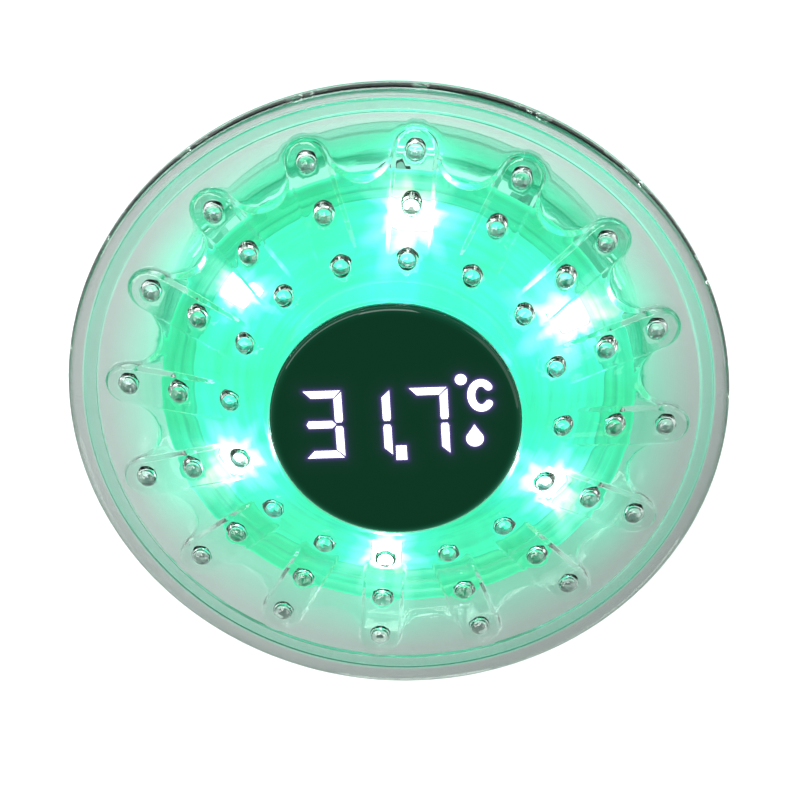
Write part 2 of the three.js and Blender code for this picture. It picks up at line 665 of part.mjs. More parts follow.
function powerButton() {
  const flangeTop = BUTTON.flangeBottom + BUTTON.flangeHeight;
  return turned([
    [0, BUTTON.capBottom],
    [BUTTON.capRadius - BUTTON.capCrown, BUTTON.capBottom],
    [BUTTON.capRadius, BUTTON.capBottom + BUTTON.capCrown],
    [BUTTON.capRadius, BUTTON.flangeBottom],
    [BUTTON.flangeRadius, BUTTON.flangeBottom],
    [BUTTON.flangeRadius, flangeTop],
    [BUTTON.pusherRadius, flangeTop],
    [BUTTON.pusherRadius, BUTTON.pusherTop],
    [0, BUTTON.pusherTop],
  ], BUTTON_STEPS, 0, BUTTON.y);
}

function buttonRetainer() {
  const bottom = PLATE_TOP + SMALL_GAP;
  return turned([
    [RETAINER.inner, bottom],
    [RETAINER.outer, bottom],
    [RETAINER.outer, RETAINER.top],
    [RETAINER.hole, RETAINER.top],
    [RETAINER.hole, RETAINER.top - RETAINER.cap],
    [RETAINER.inner, RETAINER.top - RETAINER.cap],
  ], BUTTON_STEPS, 0, BUTTON.y);
}

function switchBody() {
  const half = SWITCH.side / 2;
  const body = block(half, half, SWITCH.bottom, BOARD.bottom - SMALL_GAP, 0, BUTTON.y);
  const { boreRadius, boreTop } = SWITCH;
  return body.subtract(disc(boreRadius, SWITCH.bottom - OVERSHOOT, boreTop, SMALL_STEPS, 0, BUTTON.y));
}

function buttonParts() {
  addPart('power_button', powerButton(), { color: 0x8f9996, roughness: 0.6, metalness: 0 });
  addPart('button_retainer', buttonRetainer(), { color: 0xe9ecee, roughness: 0.5, metalness: 0 });
  addPart('power_switch', switchBody(), { color: 0x1b1c1e, roughness: 0.5, metalness: 0 });
  addPart('switch_plunger', disc(SWITCH.plungerRadius, BUTTON.pusherTop + SMALL_GAP, SWITCH.plungerTop,
    SMALL_STEPS, 0, BUTTON.y), { color: 0xd8d2c0, roughness: 0.5, metalness: 0 });
}

// ---------------------------------------------------------------- temperature probe

function probe() {
  const { radius, wall, bottom, nose, top, flangeRadius, flangeHeight } = PROBE;
  return turned([
    [0, bottom],
    [radius - nose, bottom],
    [radius, bottom + nose],
    [radius, top - flangeHeight],
    [flangeRadius, top - flangeHeight],
    [flangeRadius, top],
    [radius - wall, top],
    [radius - wall, bottom + nose],
    [radius - nose - wall / 2, bottom + wall],
    [0, bottom + wall],
  ], BUTTON_STEPS, 0, PROBE.y);
}

function electrode(side) {
  const { headRadius, headHeight, shaftRadius, x, y } = ELECTRODE;
  const headTop = PLATE.bottom - SMALL_GAP;
  return turned([
    [0, headTop - headHeight],
    [headRadius / 2, headTop - headHeight],
    [headRadius, headTop - headHeight / 2],
    [headRadius, headTop],
    [shaftRadius, headTop],
    [shaftRadius, BOARD.bottom - SMALL_GAP],
    [0, BOARD.bottom - SMALL_GAP],
  ], SMALL_STEPS, side * x, y);
}

function probeParts() {
  const steel = { color: 0xc4c8cb, roughness: 0.25, metalness: 1 };
  addPart('temperature_probe', probe(), steel);
  addPart('probe_seal', ring(PROBE_SEAL.inner, PROBE_SEAL.outer, PLATE_TOP + SMALL_GAP,
    PROBE.top - PROBE.flangeHeight - SMALL_GAP, BUTTON_STEPS, 0, PROBE.y),
  { color: 0x2a2c2e, roughness: 0.8, metalness: 0 });
  const bead = new THREE.SphereGeometry(THERMISTOR.radius, THERMISTOR.steps, THERMISTOR.bands);
  addPart('thermistor', solid(bead.translate(0, PROBE.y, THERMISTOR.height)),
    { color: 0x20242a, roughness: 0.4, metalness: 0 });
  const top = BOARD.bottom - LEAD.topGap;
  const middle = (PROBE.top + top) / 2;
  const route = [
    [0, PROBE.y, LEAD.start],
    [0, PROBE.y, PROBE.top],
    [0, PROBE.y - LEAD.bow, middle],
    [0, PROBE.y, top],
  ];
  addPart('sensor_lead', wire(route, LEAD.radius, LEAD.steps, LEAD.sides),
    { color: 0xf0efe8, roughness: 0.5, metalness: 0 });
  addPart('electrode_1', electrode(-1), steel);
  addPart('electrode_2', electrode(1), steel);
}

// ---------------------------------------------------------------- assembly

addPart('top_cover', topCover(), { color: 0xcfe9df, roughness: 0.08, metalness: 0 });
addPart('lower_hull', lowerHull(), { color: 0xc8dcd5, roughness: 0.1, metalness: 0 });
addPart('rim_gasket', rimGasket(), { color: 0x55e0b0, roughness: 0.5, metalness: 0 });
displayParts();
boardParts();
batteryParts();
doorParts();
buttonParts();
probeParts();

export default thermometer;
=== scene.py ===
import math

import bmesh
import bpy
import numpy as np
from mathutils import Matrix, Vector
from mathutils.geometry import delaunay_2d_cdt


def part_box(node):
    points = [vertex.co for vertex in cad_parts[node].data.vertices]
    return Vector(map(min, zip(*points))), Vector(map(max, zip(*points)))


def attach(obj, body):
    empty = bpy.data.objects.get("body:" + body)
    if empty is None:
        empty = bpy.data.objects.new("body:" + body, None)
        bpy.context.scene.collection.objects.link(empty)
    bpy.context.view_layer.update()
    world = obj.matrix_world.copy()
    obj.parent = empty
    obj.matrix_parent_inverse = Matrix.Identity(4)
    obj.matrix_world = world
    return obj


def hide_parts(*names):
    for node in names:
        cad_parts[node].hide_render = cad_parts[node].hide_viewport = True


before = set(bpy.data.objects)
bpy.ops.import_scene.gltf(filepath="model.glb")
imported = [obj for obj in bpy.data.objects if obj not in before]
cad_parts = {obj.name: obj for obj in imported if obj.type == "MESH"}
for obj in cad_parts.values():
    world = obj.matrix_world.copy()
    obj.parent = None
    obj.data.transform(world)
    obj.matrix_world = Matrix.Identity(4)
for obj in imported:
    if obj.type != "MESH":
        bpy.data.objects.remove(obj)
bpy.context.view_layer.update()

# The floating pool thermometer's looks. Sizes are millimetres unless a name says otherwise, in the
# part's own frame: +Z up, +X along the displayed digits, +Y the way up that they are read.
MM = 0.001
MAIN_BODY = "float_body"


def corners(node):
    """Lowest and highest corner of a CAD node, in millimetres."""
    low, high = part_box(node)
    return low / MM, high / MM


# -------- sizes taken from the frame

cover_low, cover_high = corners("top_cover")
_, hull_high = corners("lower_hull")
lens_low, lens_high = corners("display_lens")
board_low, _ = corners("main_board")
reflector_low, reflector_high = corners("reflector")
gasket_low, gasket_high = corners("rim_gasket")

RIM_RADIUS = cover_high.x
SPLIT = cover_low.z  # underside of the cover's rim
COVER_RIM = 1.5
RIM_TOP = SPLIT + COVER_RIM
HULL_TOP = hull_high.z
HULL_RIM = 1.45
LENS_RADIUS = lens_high.x
LENS_TOP = lens_high.z
LENS_ROUNDING = 1.1

# -------- sizes of the cover's relief

FINGER_COUNT = 16
SECTOR = 2 * math.pi / FINGER_COUNT
FINGER_TURN = math.radians(-6.9)  # the first finger, from +Y
FINGER_HALF_WIDTH = 3.0
FINGER_WALL = 0.36  # half of the drafted wall's width in plan
FINGER_END = 24.6
FINGER_FADE = 4.2  # length over which the finger rises out of the dome
FINGER_END_CORNER = 1.2
FINGER_TIP = 40.7
FINGER_TIP_RISE = 1.56
FINGER_SLOPE = 0.21
BUMP_RINGS = (24.9, 32.7, 40.5)
BUMP_RADIUS = 1.32
BUMP_HEIGHT = 1.05
HOLE_RADIUS = 1.33
HOLE_CROWN = 1.5  # height of a blind hole's pointed end
HOLE_ROOF = 0.4  # plastic left between a blind hole and the bump above it
SCALLOP_TIP_RADIUS = 3.3
SCALLOP_VALLEY_CENTRE = 41.2
SCALLOP_WALL = 0.3
DOME_STEP = 0.7
DOME_RISE = 6.4
DOME_CROWN = 10.0
DOME_FOOT = 45.0
CAVITY_RADIUS = 38.0
CAVITY_BEND = 3.0
LEDGE_OUTER = 19.1
LEDGE_INNER = 16.5
LEDGE_TOP = RIM_TOP + 4.9
LEDGE_THICKNESS = 1.4
RELIEF_OUTER = 47.6
UNDERSIDE_INNER = 21.0
UNDERSIDE_OUTER = 44.0
RIM_ROUNDING = 1.1
RIM_GREY_START = 49.0  # radius at which the rim's grey edge begins, and how soon it is full
RIM_GREY_FADE = 0.5
NICK = 0.1  # the smallest chamfer, which only catches a highlight
STEPS_PER_SECTOR = 24
FINE_STEPS = FINGER_COUNT * STEPS_PER_SECTOR
WALL_LINES = (-1.0, -0.75, -0.5, 0.5, 0.75, 1.0)  # lines along a wall, in half widths

# -------- sizes of the other fine shapes

CUP_RADIUS = 36.6
CUP_WALL = 1.45
CUP_FILLET = 8.0
FOOT_INNER = 33.6
FOOT_CHAMFER = 0.8
PLATE_BOTTOM = 3.0
PLATE_TOP = 4.8
SEAL_INNER = 45.75
SEAL_OUTER = gasket_high.x
SEAL_CLEARANCE = 0.1
POST_RADIUS = 2.6
POST_TOP = board_low.z - 0.05
POST_BORE = 0.95
POST_BORE_DEPTH = 6.0
BOSS_RADIUS = 3.0
BOSS_TOP = 10.2
BOSS_BORE = 1.6
BOSS_BORE_TOP = 9.4
BAY_HALF_LENGTH = 24.8
BAY_HALF_WIDTH = 16.9
BAY_CORNER = 2.0
BUTTON_HOLE = 4.9
PROBE_HOLE = 3.3
PIN_HOLE = 1.4

LED_COUNT = 6
LED_RING = 28.7
LED_SPREAD = (1.1, 1.15, 1.0, 0.9, 1.0, 0.75)  # how far each LED's light washes over the reflector
FLARES = ((3, 0.14), (7, 0.12), (12, 0.1))  # how many rays flare out of an LED, and how far
LED_WINDOW = 2.45
LED_CORNER = 0.6
TUBE_INNER = 16.6
CONE_FOOT = 31.2
REFLECTOR_RIM_TOP = 20.5
REFLECTOR_WALL = 0.9
LED_REACH = 19.0  # how far the light of an LED is followed

DIGIT_WIDTH = 5.75
DIGIT_BOTTOM = -5.3
DIGIT_HEIGHT = 11.05
DIGIT_STROKE = 1.17
DIGIT_RIGHT_EDGES = (-7.75, -0.62, 7.95)
SEGMENT_GAP = 0.13
DIGIT_THICKNESS = 0.06
HALO_REACH = 0.75

GLOW_END = 45.5  # radius at which the light that runs into the hull's fillet is gone
GLOW_FADE = 9.0
GLOW_STRAY = 0.3  # how much further the light runs towards +Y
BEAM_TURN = 0.13  # half the angle of the light past an LED, in radians
BEAM_END = 44.0
BEAM_FADE = 5.0
BEAM_LEAST = 0.4  # strength of the beams on the -Y side; those towards +Y are up to 1
INNER_GLOW = 0.4
INNER_GLOW_END = 37.0
INNER_GLOW_FADE = 1.5
CUP_GLOW = 0.6
GROOVE_GLOW = 0.4
SEAL_MARGIN = 0.4  # how far inside the seal's groove the glow of the hull's top face stops
WALL_REACH = 0.15  # how near the groove's walls a point counts as on them

DEPTH_DENSITY = 300.0  # how strongly the clear plastic's depth colour acts, per metre
COVER_TINT = (0.91, 0.94, 0.925)
RIM_TINT = (0.6, 0.68, 0.64)
HULL_TINT = (0.6, 0.575, 0.595)
COVER_DEPTH = (0.79, 0.84, 0.815)
HULL_DEPTH = (0.66, 0.74, 0.7)
CLEAR_SHADOW = (0.97, 0.975, 0.97)
SEAL_TINT = (0.78, 0.91, 0.86)
SEAL_GLOW = 0.7
REFLECTOR_GLOW = 2.4
LED_GLOW = 6.0
SEGMENT_GLOW = 1.05
SKY_LOW = 0.45
SKY_HIGH = 0.2
FLOOR_GLOW = 0.3  # keeps the paper white in the float's faint shadow
FLOOR_REACH = 30000.0  # far enough for its edge to stay out of low views
FLOOR_HEIGHT = -27.0  # leaves room under the float for the battery door when it is off


# -------- mesh helpers

def add(name, data):
    """A new object in the scene."""
    obj = bpy.data.objects.new(name, data)
    bpy.context.scene.collection.objects.link(obj)
    return obj


def piece(name, verts, faces, smooth=True):
    """A new object from millimetre vertices."""
    mesh = bpy.data.meshes.new(name)
    mesh.from_pydata([tuple(c * MM for c in v) for v in verts], [], faces)
    mesh.validate()
    obj = add(name, mesh)
    for polygon in mesh.polygons:
        polygon.use_smooth = smooth
    return obj


def turned_faces(rings, steps, closed):
    """Quads between successive rings of a turned outline."""
    faces = []
    last = rings if closed else rings - 1
    for ring in range(last):
        near = ring * steps
        far = ((ring + 1) % rings) * steps
        for step in range(steps):
            following = (step + 1) % steps
            faces.append((near + step, near + following, far + following, far + step))
    return faces


def turned_verts(outline, steps, start=0.0):
    """The points of a [radius, height] outline, repeated about +Z."""
    turns = [start + 2 * math.pi * step / steps for step in range(steps)]
    return [(radius * math.cos(t), radius * math.sin(t), height) for radius, height in outline for t in turns]


def turned(name, outline, steps):
    """Turns an anticlockwise [radius, height] outline about +Z. Points on the axis become caps."""
    inner = [point for point in outline if point[0] > 0]
    verts = turned_verts(inner, steps)
    on_axis = len(inner) < len(outline)
    faces = turned_faces(len(inner), steps, not on_axis)
    if on_axis:
        for pole, ring, flip in ((outline[0], 0, True), (outline[-1], len(inner) - 1, False)):
            centre = len(verts)
            verts.append((0, 0, pole[1]))
            for step in range(steps):
                near, far = ring * steps + step, ring * steps + (step + 1) % steps
                faces.append((far, near, centre) if flip else (near, far, centre))
    return piece(name, verts, faces)


def arc(centre, radius, start, end, steps):
    """Points on an arc, with both ends, by angles in degrees."""
    angles = np.radians(np.linspace(start, end, steps + 1))
    return [(centre[0] + radius * math.cos(a), centre[1] + radius * math.sin(a)) for a in angles]


def circle(radius, x=0.0, y=0.0, steps=32):
    return arc((x, y), radius, 0, 360, steps)[:-1]


def rounded_rectangle(half_length, half_width, corner):
    outline = []
    for quarter, (side_x, side_y) in enumerate(((1, 1), (-1, 1), (-1, -1), (1, -1))):
        centre = (side_x * (half_length - corner), side_y * (half_width - corner))
        outline += arc(centre, corner, 90 * quarter, 90 * quarter + 90, 6)
    return outline


def plates(name, outlines, bottom, top):
    """Straight-sided solids of the given outlines between two heights, as one object."""
    verts, faces = [], []
    for outline in outlines:
        count = len(outline)
        first = len(verts)
        for height in (bottom, top):
            verts.extend((x, y, height) for x, y in outline)
        faces.append(tuple(first + count + i for i in range(count)))
        faces.append(tuple(first + i for i in reversed(range(count))))
        for i in range(count):
            after = (i + 1) % count
            faces.append((first + i, first + after, first + count + after, first + count + i))
    obj = piece(name, verts, faces, smooth=False)
    mesh = bmesh.new()
    mesh.from_mesh(obj.data)
    bmesh.ops.recalc_face_normals(mesh, faces=mesh.faces)
    bmesh.ops.triangulate(mesh, faces=mesh.faces)
    mesh.to_mesh(obj.data)
    mesh.free()
    return obj


def combine(obj, outlines, bottom, top, operation="DIFFERENCE"):
    """Cuts straight-sided solids away from a piece or joins them to it, and keeps only the result."""
    other = plates("tool", outlines, bottom, top)
    modifier = obj.modifiers.new(operation, "BOOLEAN")
    modifier.operation = operation
    modifier.solver = "EXACT"
    modifier.object = other
    before = obj.data
    result = bpy.data.meshes.new_from_object(obj.evaluated_get(bpy.context.evaluated_depsgraph_get()))
    obj.modifiers.clear()
    obj.data = result
    bpy.data.meshes.remove(before)
    bpy.data.objects.remove(other)


def crisp(obj, angle=35.0):
    """Keeps the edges sharper than an angle crisp under smooth shading."""
    for polygon in obj.data.polygons:
        polygon.use_smooth = True
    obj.data.set_sharp_from_angle(angle=math.radians(angle))


def points_of(obj):
    """The object's vertices in its own space, in millimetres."""
    return np.array([tuple(v.co) for v in obj.data.vertices]) / MM


def radii_of(places):
    return np.hypot(places[:, 0], places[:, 1])


def place(obj, mat, body, slot, *nodes):
    """Gives a piece its material and body, and lets it stand for CAD nodes. Its slot, the finish name, is not
    used.
    """
    obj.data.materials.clear()
    obj.data.materials.append(mat)
    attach(obj, body)
    if nodes:
        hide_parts(*nodes)


def led_spots(radius):
    """The points of a ring that lie on the LEDs' rays from the centre, in plan."""
    turns = [math.pi / 2 + FINGER_TURN - 2 * math.pi * i / LED_COUNT for i in range(LED_COUNT)]
    return [(radius * math.cos(turn), radius * math.sin(turn)) for turn in turns]


# -------- shader helpers

def set_inputs(node, **values):
    """Gives a node's inputs plain values, or links them to other nodes' outputs."""
    for key, value in values.items():
        entry = node.inputs[key.replace("_", " ")]
        if isinstance(value, bpy.types.NodeSocket):
            node.id_data.links.new(value, entry)
        else:
            entry.default_value = value
    return node


def new_node(tree, kind, **values):
    return set_inputs(tree.nodes.new("ShaderNode" + kind), **values)


def shader(name, color, roughness, **values):
    """A principled material, its node tree and its shader node."""
    mat = bpy.data.materials.new(name)
    mat.use_nodes = True
    tree = mat.node_tree
    bsdf = tree.nodes["Principled BSDF"]
    set_inputs(bsdf, Base_Color=(*color, 1.0), Roughness=roughness, **values)
    return mat, tree, bsdf


def ramp(tree, factor, stops):
    """A colour ramp over a factor, from (position, colour or grey level) stops."""
    node = new_node(tree, "ValToRGB", Fac=factor)
    elements = node.color_ramp.elements
    while len(elements) < len(stops):
        elements.new(0.5)
    for element, (position, color) in zip(elements, stops):
        element.position = position
        element.color = (*color, 1.0) if isinstance(color, tuple) else (color, color, color, 1.0)
    return node.outputs["Color"]


def noise(tree, scale, detail=3.0, stretch=(1, 1, 1)):
    """Noise in object space, stretched along the axes."""
    coords = new_node(tree, "TexCoord").outputs["Object"]
    mapped = new_node(tree, "Mapping", Vector=coords, Scale=stretch).outputs["Vector"]
    return new_node(tree, "TexNoise", Vector=mapped, Scale=scale, Detail=detail).outputs["Fac"]


def bump(tree, bsdf, height, strength, distance=0.0001):
    node = new_node(tree, "Bump", Strength=strength, Distance=distance, Height=height)
    set_inputs(bsdf, Normal=node.outputs["Normal"])


def blended(tree, one, other, kind="MULTIPLY"):
    """Two colours multiplied or added."""
    node = new_node(tree, "Mix", Factor=1.0)
    node.data_type = "RGBA"
    node.blend_type = kind
    return set_inputs(node, A=one, B=other).outputs["Result"]


def attribute(tree, name):
    node = new_node(tree, "Attribute")
    node.attribute_name = name
    return node.outputs["Fac"]


def store(obj, name, values):
    layer = obj.data.attributes.new(name, "FLOAT", "POINT")
    layer.data.foreach_set("value", np.asarray(values, np.float32))


# -------- materials

def clear_plastic(name, tint, depth_tint):
    """Clear moulded plastic that darkens with depth. Lamps shine through it nearly undimmed."""
    mat, tree, bsdf = shader(name, tint, 0.02, Transmission_Weight=1.0, IOR=1.49)
    bump(tree, bsdf, noise(tree, 260.0, 2.0), 0.03)
    open_way = new_node(tree, "BsdfTransparent", Color=(*CLEAR_SHADOW, 1.0))
    mix = new_node(tree, "MixShader", Fac=new_node(tree, "LightPath").outputs["Is Shadow Ray"])
    tree.links.new(bsdf.outputs["BSDF"], mix.inputs[1])
    tree.links.new(open_way.outputs["BSDF"], mix.inputs[2])
    depth = new_node(tree, "VolumeAbsorption", Color=(*depth_tint, 1.0), Density=DEPTH_DENSITY)
    set_inputs(tree.nodes["Material Output"], Surface=mix.outputs["Shader"], Volume=depth.outputs["Volume"])
    return mat, tree, bsdf


def cover_plastic():
    """The cover's clear plastic, greyer in the rounded edge of its rim."""
    mat, tree, bsdf = clear_plastic("clear_cover_plastic", COVER_TINT, COVER_DEPTH)
    tint = ramp(tree, attribute(tree, "rim"), [(0.0, COVER_TINT), (1.0, RIM_TINT)])
    set_inputs(bsdf, Base_Color=tint)
    return mat


def glowing_hull():
    """The hull's clear plastic, tinted green where the LED light runs into it beside the reflector."""
    mat, tree, bsdf = clear_plastic("clear_hull_plastic", HULL_TINT, HULL_DEPTH)
    glow = attribute(tree, "glow")
    tint = ramp(tree, glow, [(0.0, HULL_TINT), (0.5, (0.42, 0.78, 0.68))])
    light = ramp(tree, glow, [(0.0, 0.0), (0.5, (0.01, 0.13, 0.07)), (1.0, (0.1, 0.45, 0.34))])
    set_inputs(bsdf, Base_Color=tint, Emission_Color=light, Emission_Strength=1.0)
    return mat


def lit_seal():
    """Clear silicone with the LED light running along its two edges."""
    mat, tree, bsdf = clear_plastic("seal_ring_lit", SEAL_TINT, COVER_DEPTH)
    color = ramp(tree, attribute(tree, "across"), [
        (0.0, 0.0),
        (0.3, (0.0, 0.04, 0.025)),
        (0.7, (0.0, 0.22, 0.14)),
        (1.0, (0.03, 0.7, 0.46)),
    ])
    patchy = ramp(tree, noise(tree, 60.0, 2.0), [(0.3, 0.6), (0.7, 1.0)])
    set_inputs(bsdf, Emission_Color=blended(tree, color, patchy), Emission_Strength=SEAL_GLOW)
    return mat


def vector_maths(tree, operation, one, other=None):
    """What an operation makes of a linked vector and a linked or plain one: a vector or its length."""
    node = new_node(tree, "VectorMath")
    node.operation = operation
    tree.links.new(one, node.inputs[0])
    if isinstance(other, tuple):
        node.inputs[1].default_value = other
    elif other is not None:
        tree.links.new(other, node.inputs[1])
    return node.outputs["Value" if operation == "LENGTH" else "Vector"]


def polar_noise(tree, around, along):
    """Noise that follows the rings: its scale round the axis, and along the radius per metre."""
    coords = new_node(tree, "TexCoord").outputs["Object"]
    flat = vector_maths(tree, "MULTIPLY", coords, (1, 1, 0))
    unit = vector_maths(tree, "NORMALIZE", flat)
    turning = vector_maths(tree, "MULTIPLY", unit, (around, around, around))
    radius = vector_maths(tree, "LENGTH", flat)
    rising = vector_maths(tree, "MULTIPLY", radius, (0, 0, along))
    spot = vector_maths(tree, "ADD", turning, rising)
    return new_node(tree, "TexNoise", Vector=spot, Scale=1.0, Detail=3.0).outputs["Fac"]


def reflector_material():
    """White plastic with the LEDs' light painted on as green colour and glow: brightest beside them, deeper
    green up the outer cone.
    """
    mat, tree, bsdf = shader("reflector_lit", (0.04, 0.3, 0.2), 0.35)
    color = ramp(tree, attribute(tree, "reach"), [
        (0.0, 1.0),
        (0.13, (0.85, 1.0, 1.0)),
        (0.21, (0.16, 0.7, 0.65)),
        (0.37, (0.022, 0.5, 0.36)),
        (0.7, (0.015, 0.45, 0.24)),
    ])
    shade = ramp(tree, attribute(tree, "cone"), [
        (0.0, 1.0),
        (0.03, (0.62, 0.55, 0.48)),
        (0.1, (0.8, 0.76, 0.64)),
        (0.34, (0.82, 0.7, 0.56)),
        (0.4, (0.6, 0.5, 0.42)),
        (0.48, (0.85, 0.74, 0.6)),
        (0.9, (0.8, 0.66, 0.52)),
        (1.0, (0.95, 0.95, 0.8)),
    ])
    rays = ramp(tree, polar_noise(tree, 7.0, 80.0), [(0.35, (0.84, 0.88, 0.84)), (0.65, 1.0)])
    rings = ramp(tree, polar_noise(tree, 1.3, 1000.0), [(0.35, (0.7, 0.8, 0.76)), (0.6, 1.0)])
    light = blended(tree, blended(tree, color, shade), blended(tree, rays, rings))
    set_inputs(bsdf, Emission_Color=light, Emission_Strength=REFLECTOR_GLOW)
    return mat


def lamp(name, color, roughness, grain, low, high, strength):
    """A glowing surface with a fine mottle between two colours."""
    mat, tree, bsdf = shader(name, color, roughness)
    mottle = ramp(tree, noise(tree, grain), [(0.3, low), (0.7, high)])
    set_inputs(bsdf, Emission_Color=mottle, Emission_Strength=strength)
    return mat


def window_material():
    """Black gloss, with the digits' violet halo and a green edge where the LED light creeps in."""
    mat, tree, bsdf = shader("window_gloss", (0.001, 0.008, 0.005), 0.05, IOR=1.3)
    halo = ramp(tree, attribute(tree, "halo"), [
        (0.0, (0.0, 0.027, 0.008)),
        (0.35, (0.006, 0.028, 0.022)),
        (0.7, (0.035, 0.03, 0.1)),
        (1.0, (0.16, 0.11, 0.42)),
    ])
    edge = ramp(tree, attribute(tree, "edge"), [
        (0.0, 0.0),
        (0.5, (0.0, 0.08, 0.045)),
        (1.0, (0.01, 0.42, 0.23)),
    ])
    set_inputs(bsdf, Emission_Color=blended(tree, halo, edge, "ADD"), Emission_Strength=1.0)
    return mat


def plastic(name, color, roughness):
    """Moulded plastic or rubber with a fine grain and slight colour variation."""
    variation = 0.08
    mat, tree, bsdf = shader(name, color, roughness)
    darker = tuple(c * (1 - variation) for c in color)
    lighter = tuple(min(1.0, c * (1 + variation)) for c in color)
    set_inputs(bsdf, Base_Color=ramp(tree, noise(tree, 120.0), [(0.3, darker), (0.7, lighter)]))
    bump(tree, bsdf, noise(tree, 900.0, 4.0), 0.25, 0.00005)
    return mat


def metal(name, color, roughness):
    """Brushed or plated metal with fine streaks around the vertical axis."""
    mat, tree, bsdf = shader(name, color, roughness, Metallic=1.0)
    streaks = noise(tree, 500.0, 4.0, stretch=(1, 1, 12))
    set_inputs(bsdf, Base_Color=ramp(tree, streaks, [(0.3, tuple(c * 0.82 for c in color)), (0.7, color)]))
    bump(tree, bsdf, streaks, 0.15, 0.00003)
    return mat


# -------- the cover's relief

def wall_fall(distance, half_width):
    """1 inside a wall and 0 outside it: a straight slope with both of its edges rounded."""
    share = 0.25
    along = np.clip((half_width - distance) / (2 * half_width), 0, 1)
    full = 1 - share
    low = along ** 2 / (2 * share * full)
    high = 1 - (1 - along) ** 2 / (2 * share * full)
    middle = (along - share / 2) / full
    return np.where(along < share, low, np.where(along > full, high, middle))


def dome_top(radius):
    along = np.clip((radius - DOME_CROWN) / (DOME_FOOT - DOME_CROWN), 0, 1)
    return RIM_TOP + DOME_STEP + DOME_RISE * (1 + np.cos(np.pi * along)) / 2


def finger_top(radius):
    return RIM_TOP + FINGER_TIP_RISE + (FINGER_TIP - radius) * FINGER_SLOPE


VALLEY = SCALLOP_VALLEY_CENTRE * np.array([math.cos(SECTOR / 2), math.sin(SECTOR / 2)])
TIP = np.array([FINGER_TIP, 0.0])
VALLEY_RADIUS = float(np.linalg.norm(VALLEY - TIP)) - SCALLOP_TIP_RADIUS
LEAN = math.atan2(VALLEY[1] - TIP[1], VALLEY[0] - TIP[0])


def finger_distance(x, side):
    """Distance outside the finger's outline: a round tip, straight sides and a square inner end."""
    past_tip = np.hypot(np.maximum(x - FINGER_TIP, 0), side) - FINGER_HALF_WIDTH
    corner = FINGER_END_CORNER
    out_x = FINGER_END + corner - x
    out_y = side - (FINGER_HALF_WIDTH - corner)
    beyond = np.hypot(np.maximum(out_x, 0), np.maximum(out_y, 0))
    inner_end = beyond + np.minimum(np.maximum(out_x, out_y), 0) - corner
    return np.where(x > (FINGER_END + FINGER_TIP) / 2, past_tip, inner_end)


def cap_height(away, radius, rise):
    """Height of a spherical cap over its own plane."""
    ball = (radius ** 2 + rise ** 2) / (2 * rise)
    return np.maximum(np.sqrt(np.maximum(ball ** 2 - away ** 2, 0)) - (ball - rise), 0)


def bare_relief(x, y):
    """Height of the cover's upper surface without its bumps, with the finger along +X."""
    side = np.abs(y)
    radius = np.hypot(x, y)
    past_line = (x - TIP[0]) * (VALLEY[1] - TIP[1]) - side * (VALLEY[0] - TIP[0]) > 0
    from_tip = np.hypot(x - TIP[0], side) - SCALLOP_TIP_RADIUS
    from_valley = VALLEY_RADIUS - np.hypot(x - VALLEY[0], side - VALLEY[1])
    outside_flower = np.where(past_line, from_tip, from_valley)
    base = RIM_TOP + (dome_top(radius) - RIM_TOP) * wall_fall(outside_flower, SCALLOP_WALL)
    fade = np.clip((x - FINGER_END) / FINGER_FADE, 0, 1)
    lift = np.maximum(finger_top(x) - base, 0) * fade ** 2 * (3 - 2 * fade)
    return base + lift * wall_fall(finger_distance(x, side), FINGER_WALL)


def upper_relief(x, y):
    height = bare_relief(x, y)
    for ring in BUMP_RINGS:
        height = height + cap_height(np.hypot(x - ring, y), BUMP_RADIUS, BUMP_HEIGHT)
    return height


def ceiling(radius):
    """Height of the cover's underside: level over the hull's rim, then a cone up to the window's seat."""
    level = LEDGE_TOP - LEDGE_THICKNESS
    slope = (level - SPLIT) / (CAVITY_RADIUS - CAVITY_BEND / 2 - UNDERSIDE_INNER)
    depth = np.clip(CAVITY_RADIUS - radius, 0, None)
    bend = depth ** 2 / (2 * CAVITY_BEND)
    return SPLIT + slope * np.where(depth < CAVITY_BEND, bend, depth - CAVITY_BEND / 2)


def lower_relief(x, y):
    """Height of the underside, with a blind hole below each bump."""
    height = ceiling(np.hypot(x, y))
    for ring in BUMP_RINGS:
        away = np.hypot(x - ring, y)
        roof = bare_relief(np.array(ring), np.array(0.0)) + BUMP_HEIGHT - HOLE_ROOF
        share = np.minimum(away / HOLE_RADIUS, 1)
        crown = roof - HOLE_CROWN + HOLE_CROWN * np.sqrt(1 - share ** 2)
        height = np.where(away < HOLE_RADIUS * 1.001, np.maximum(crown, height), height)
    return height


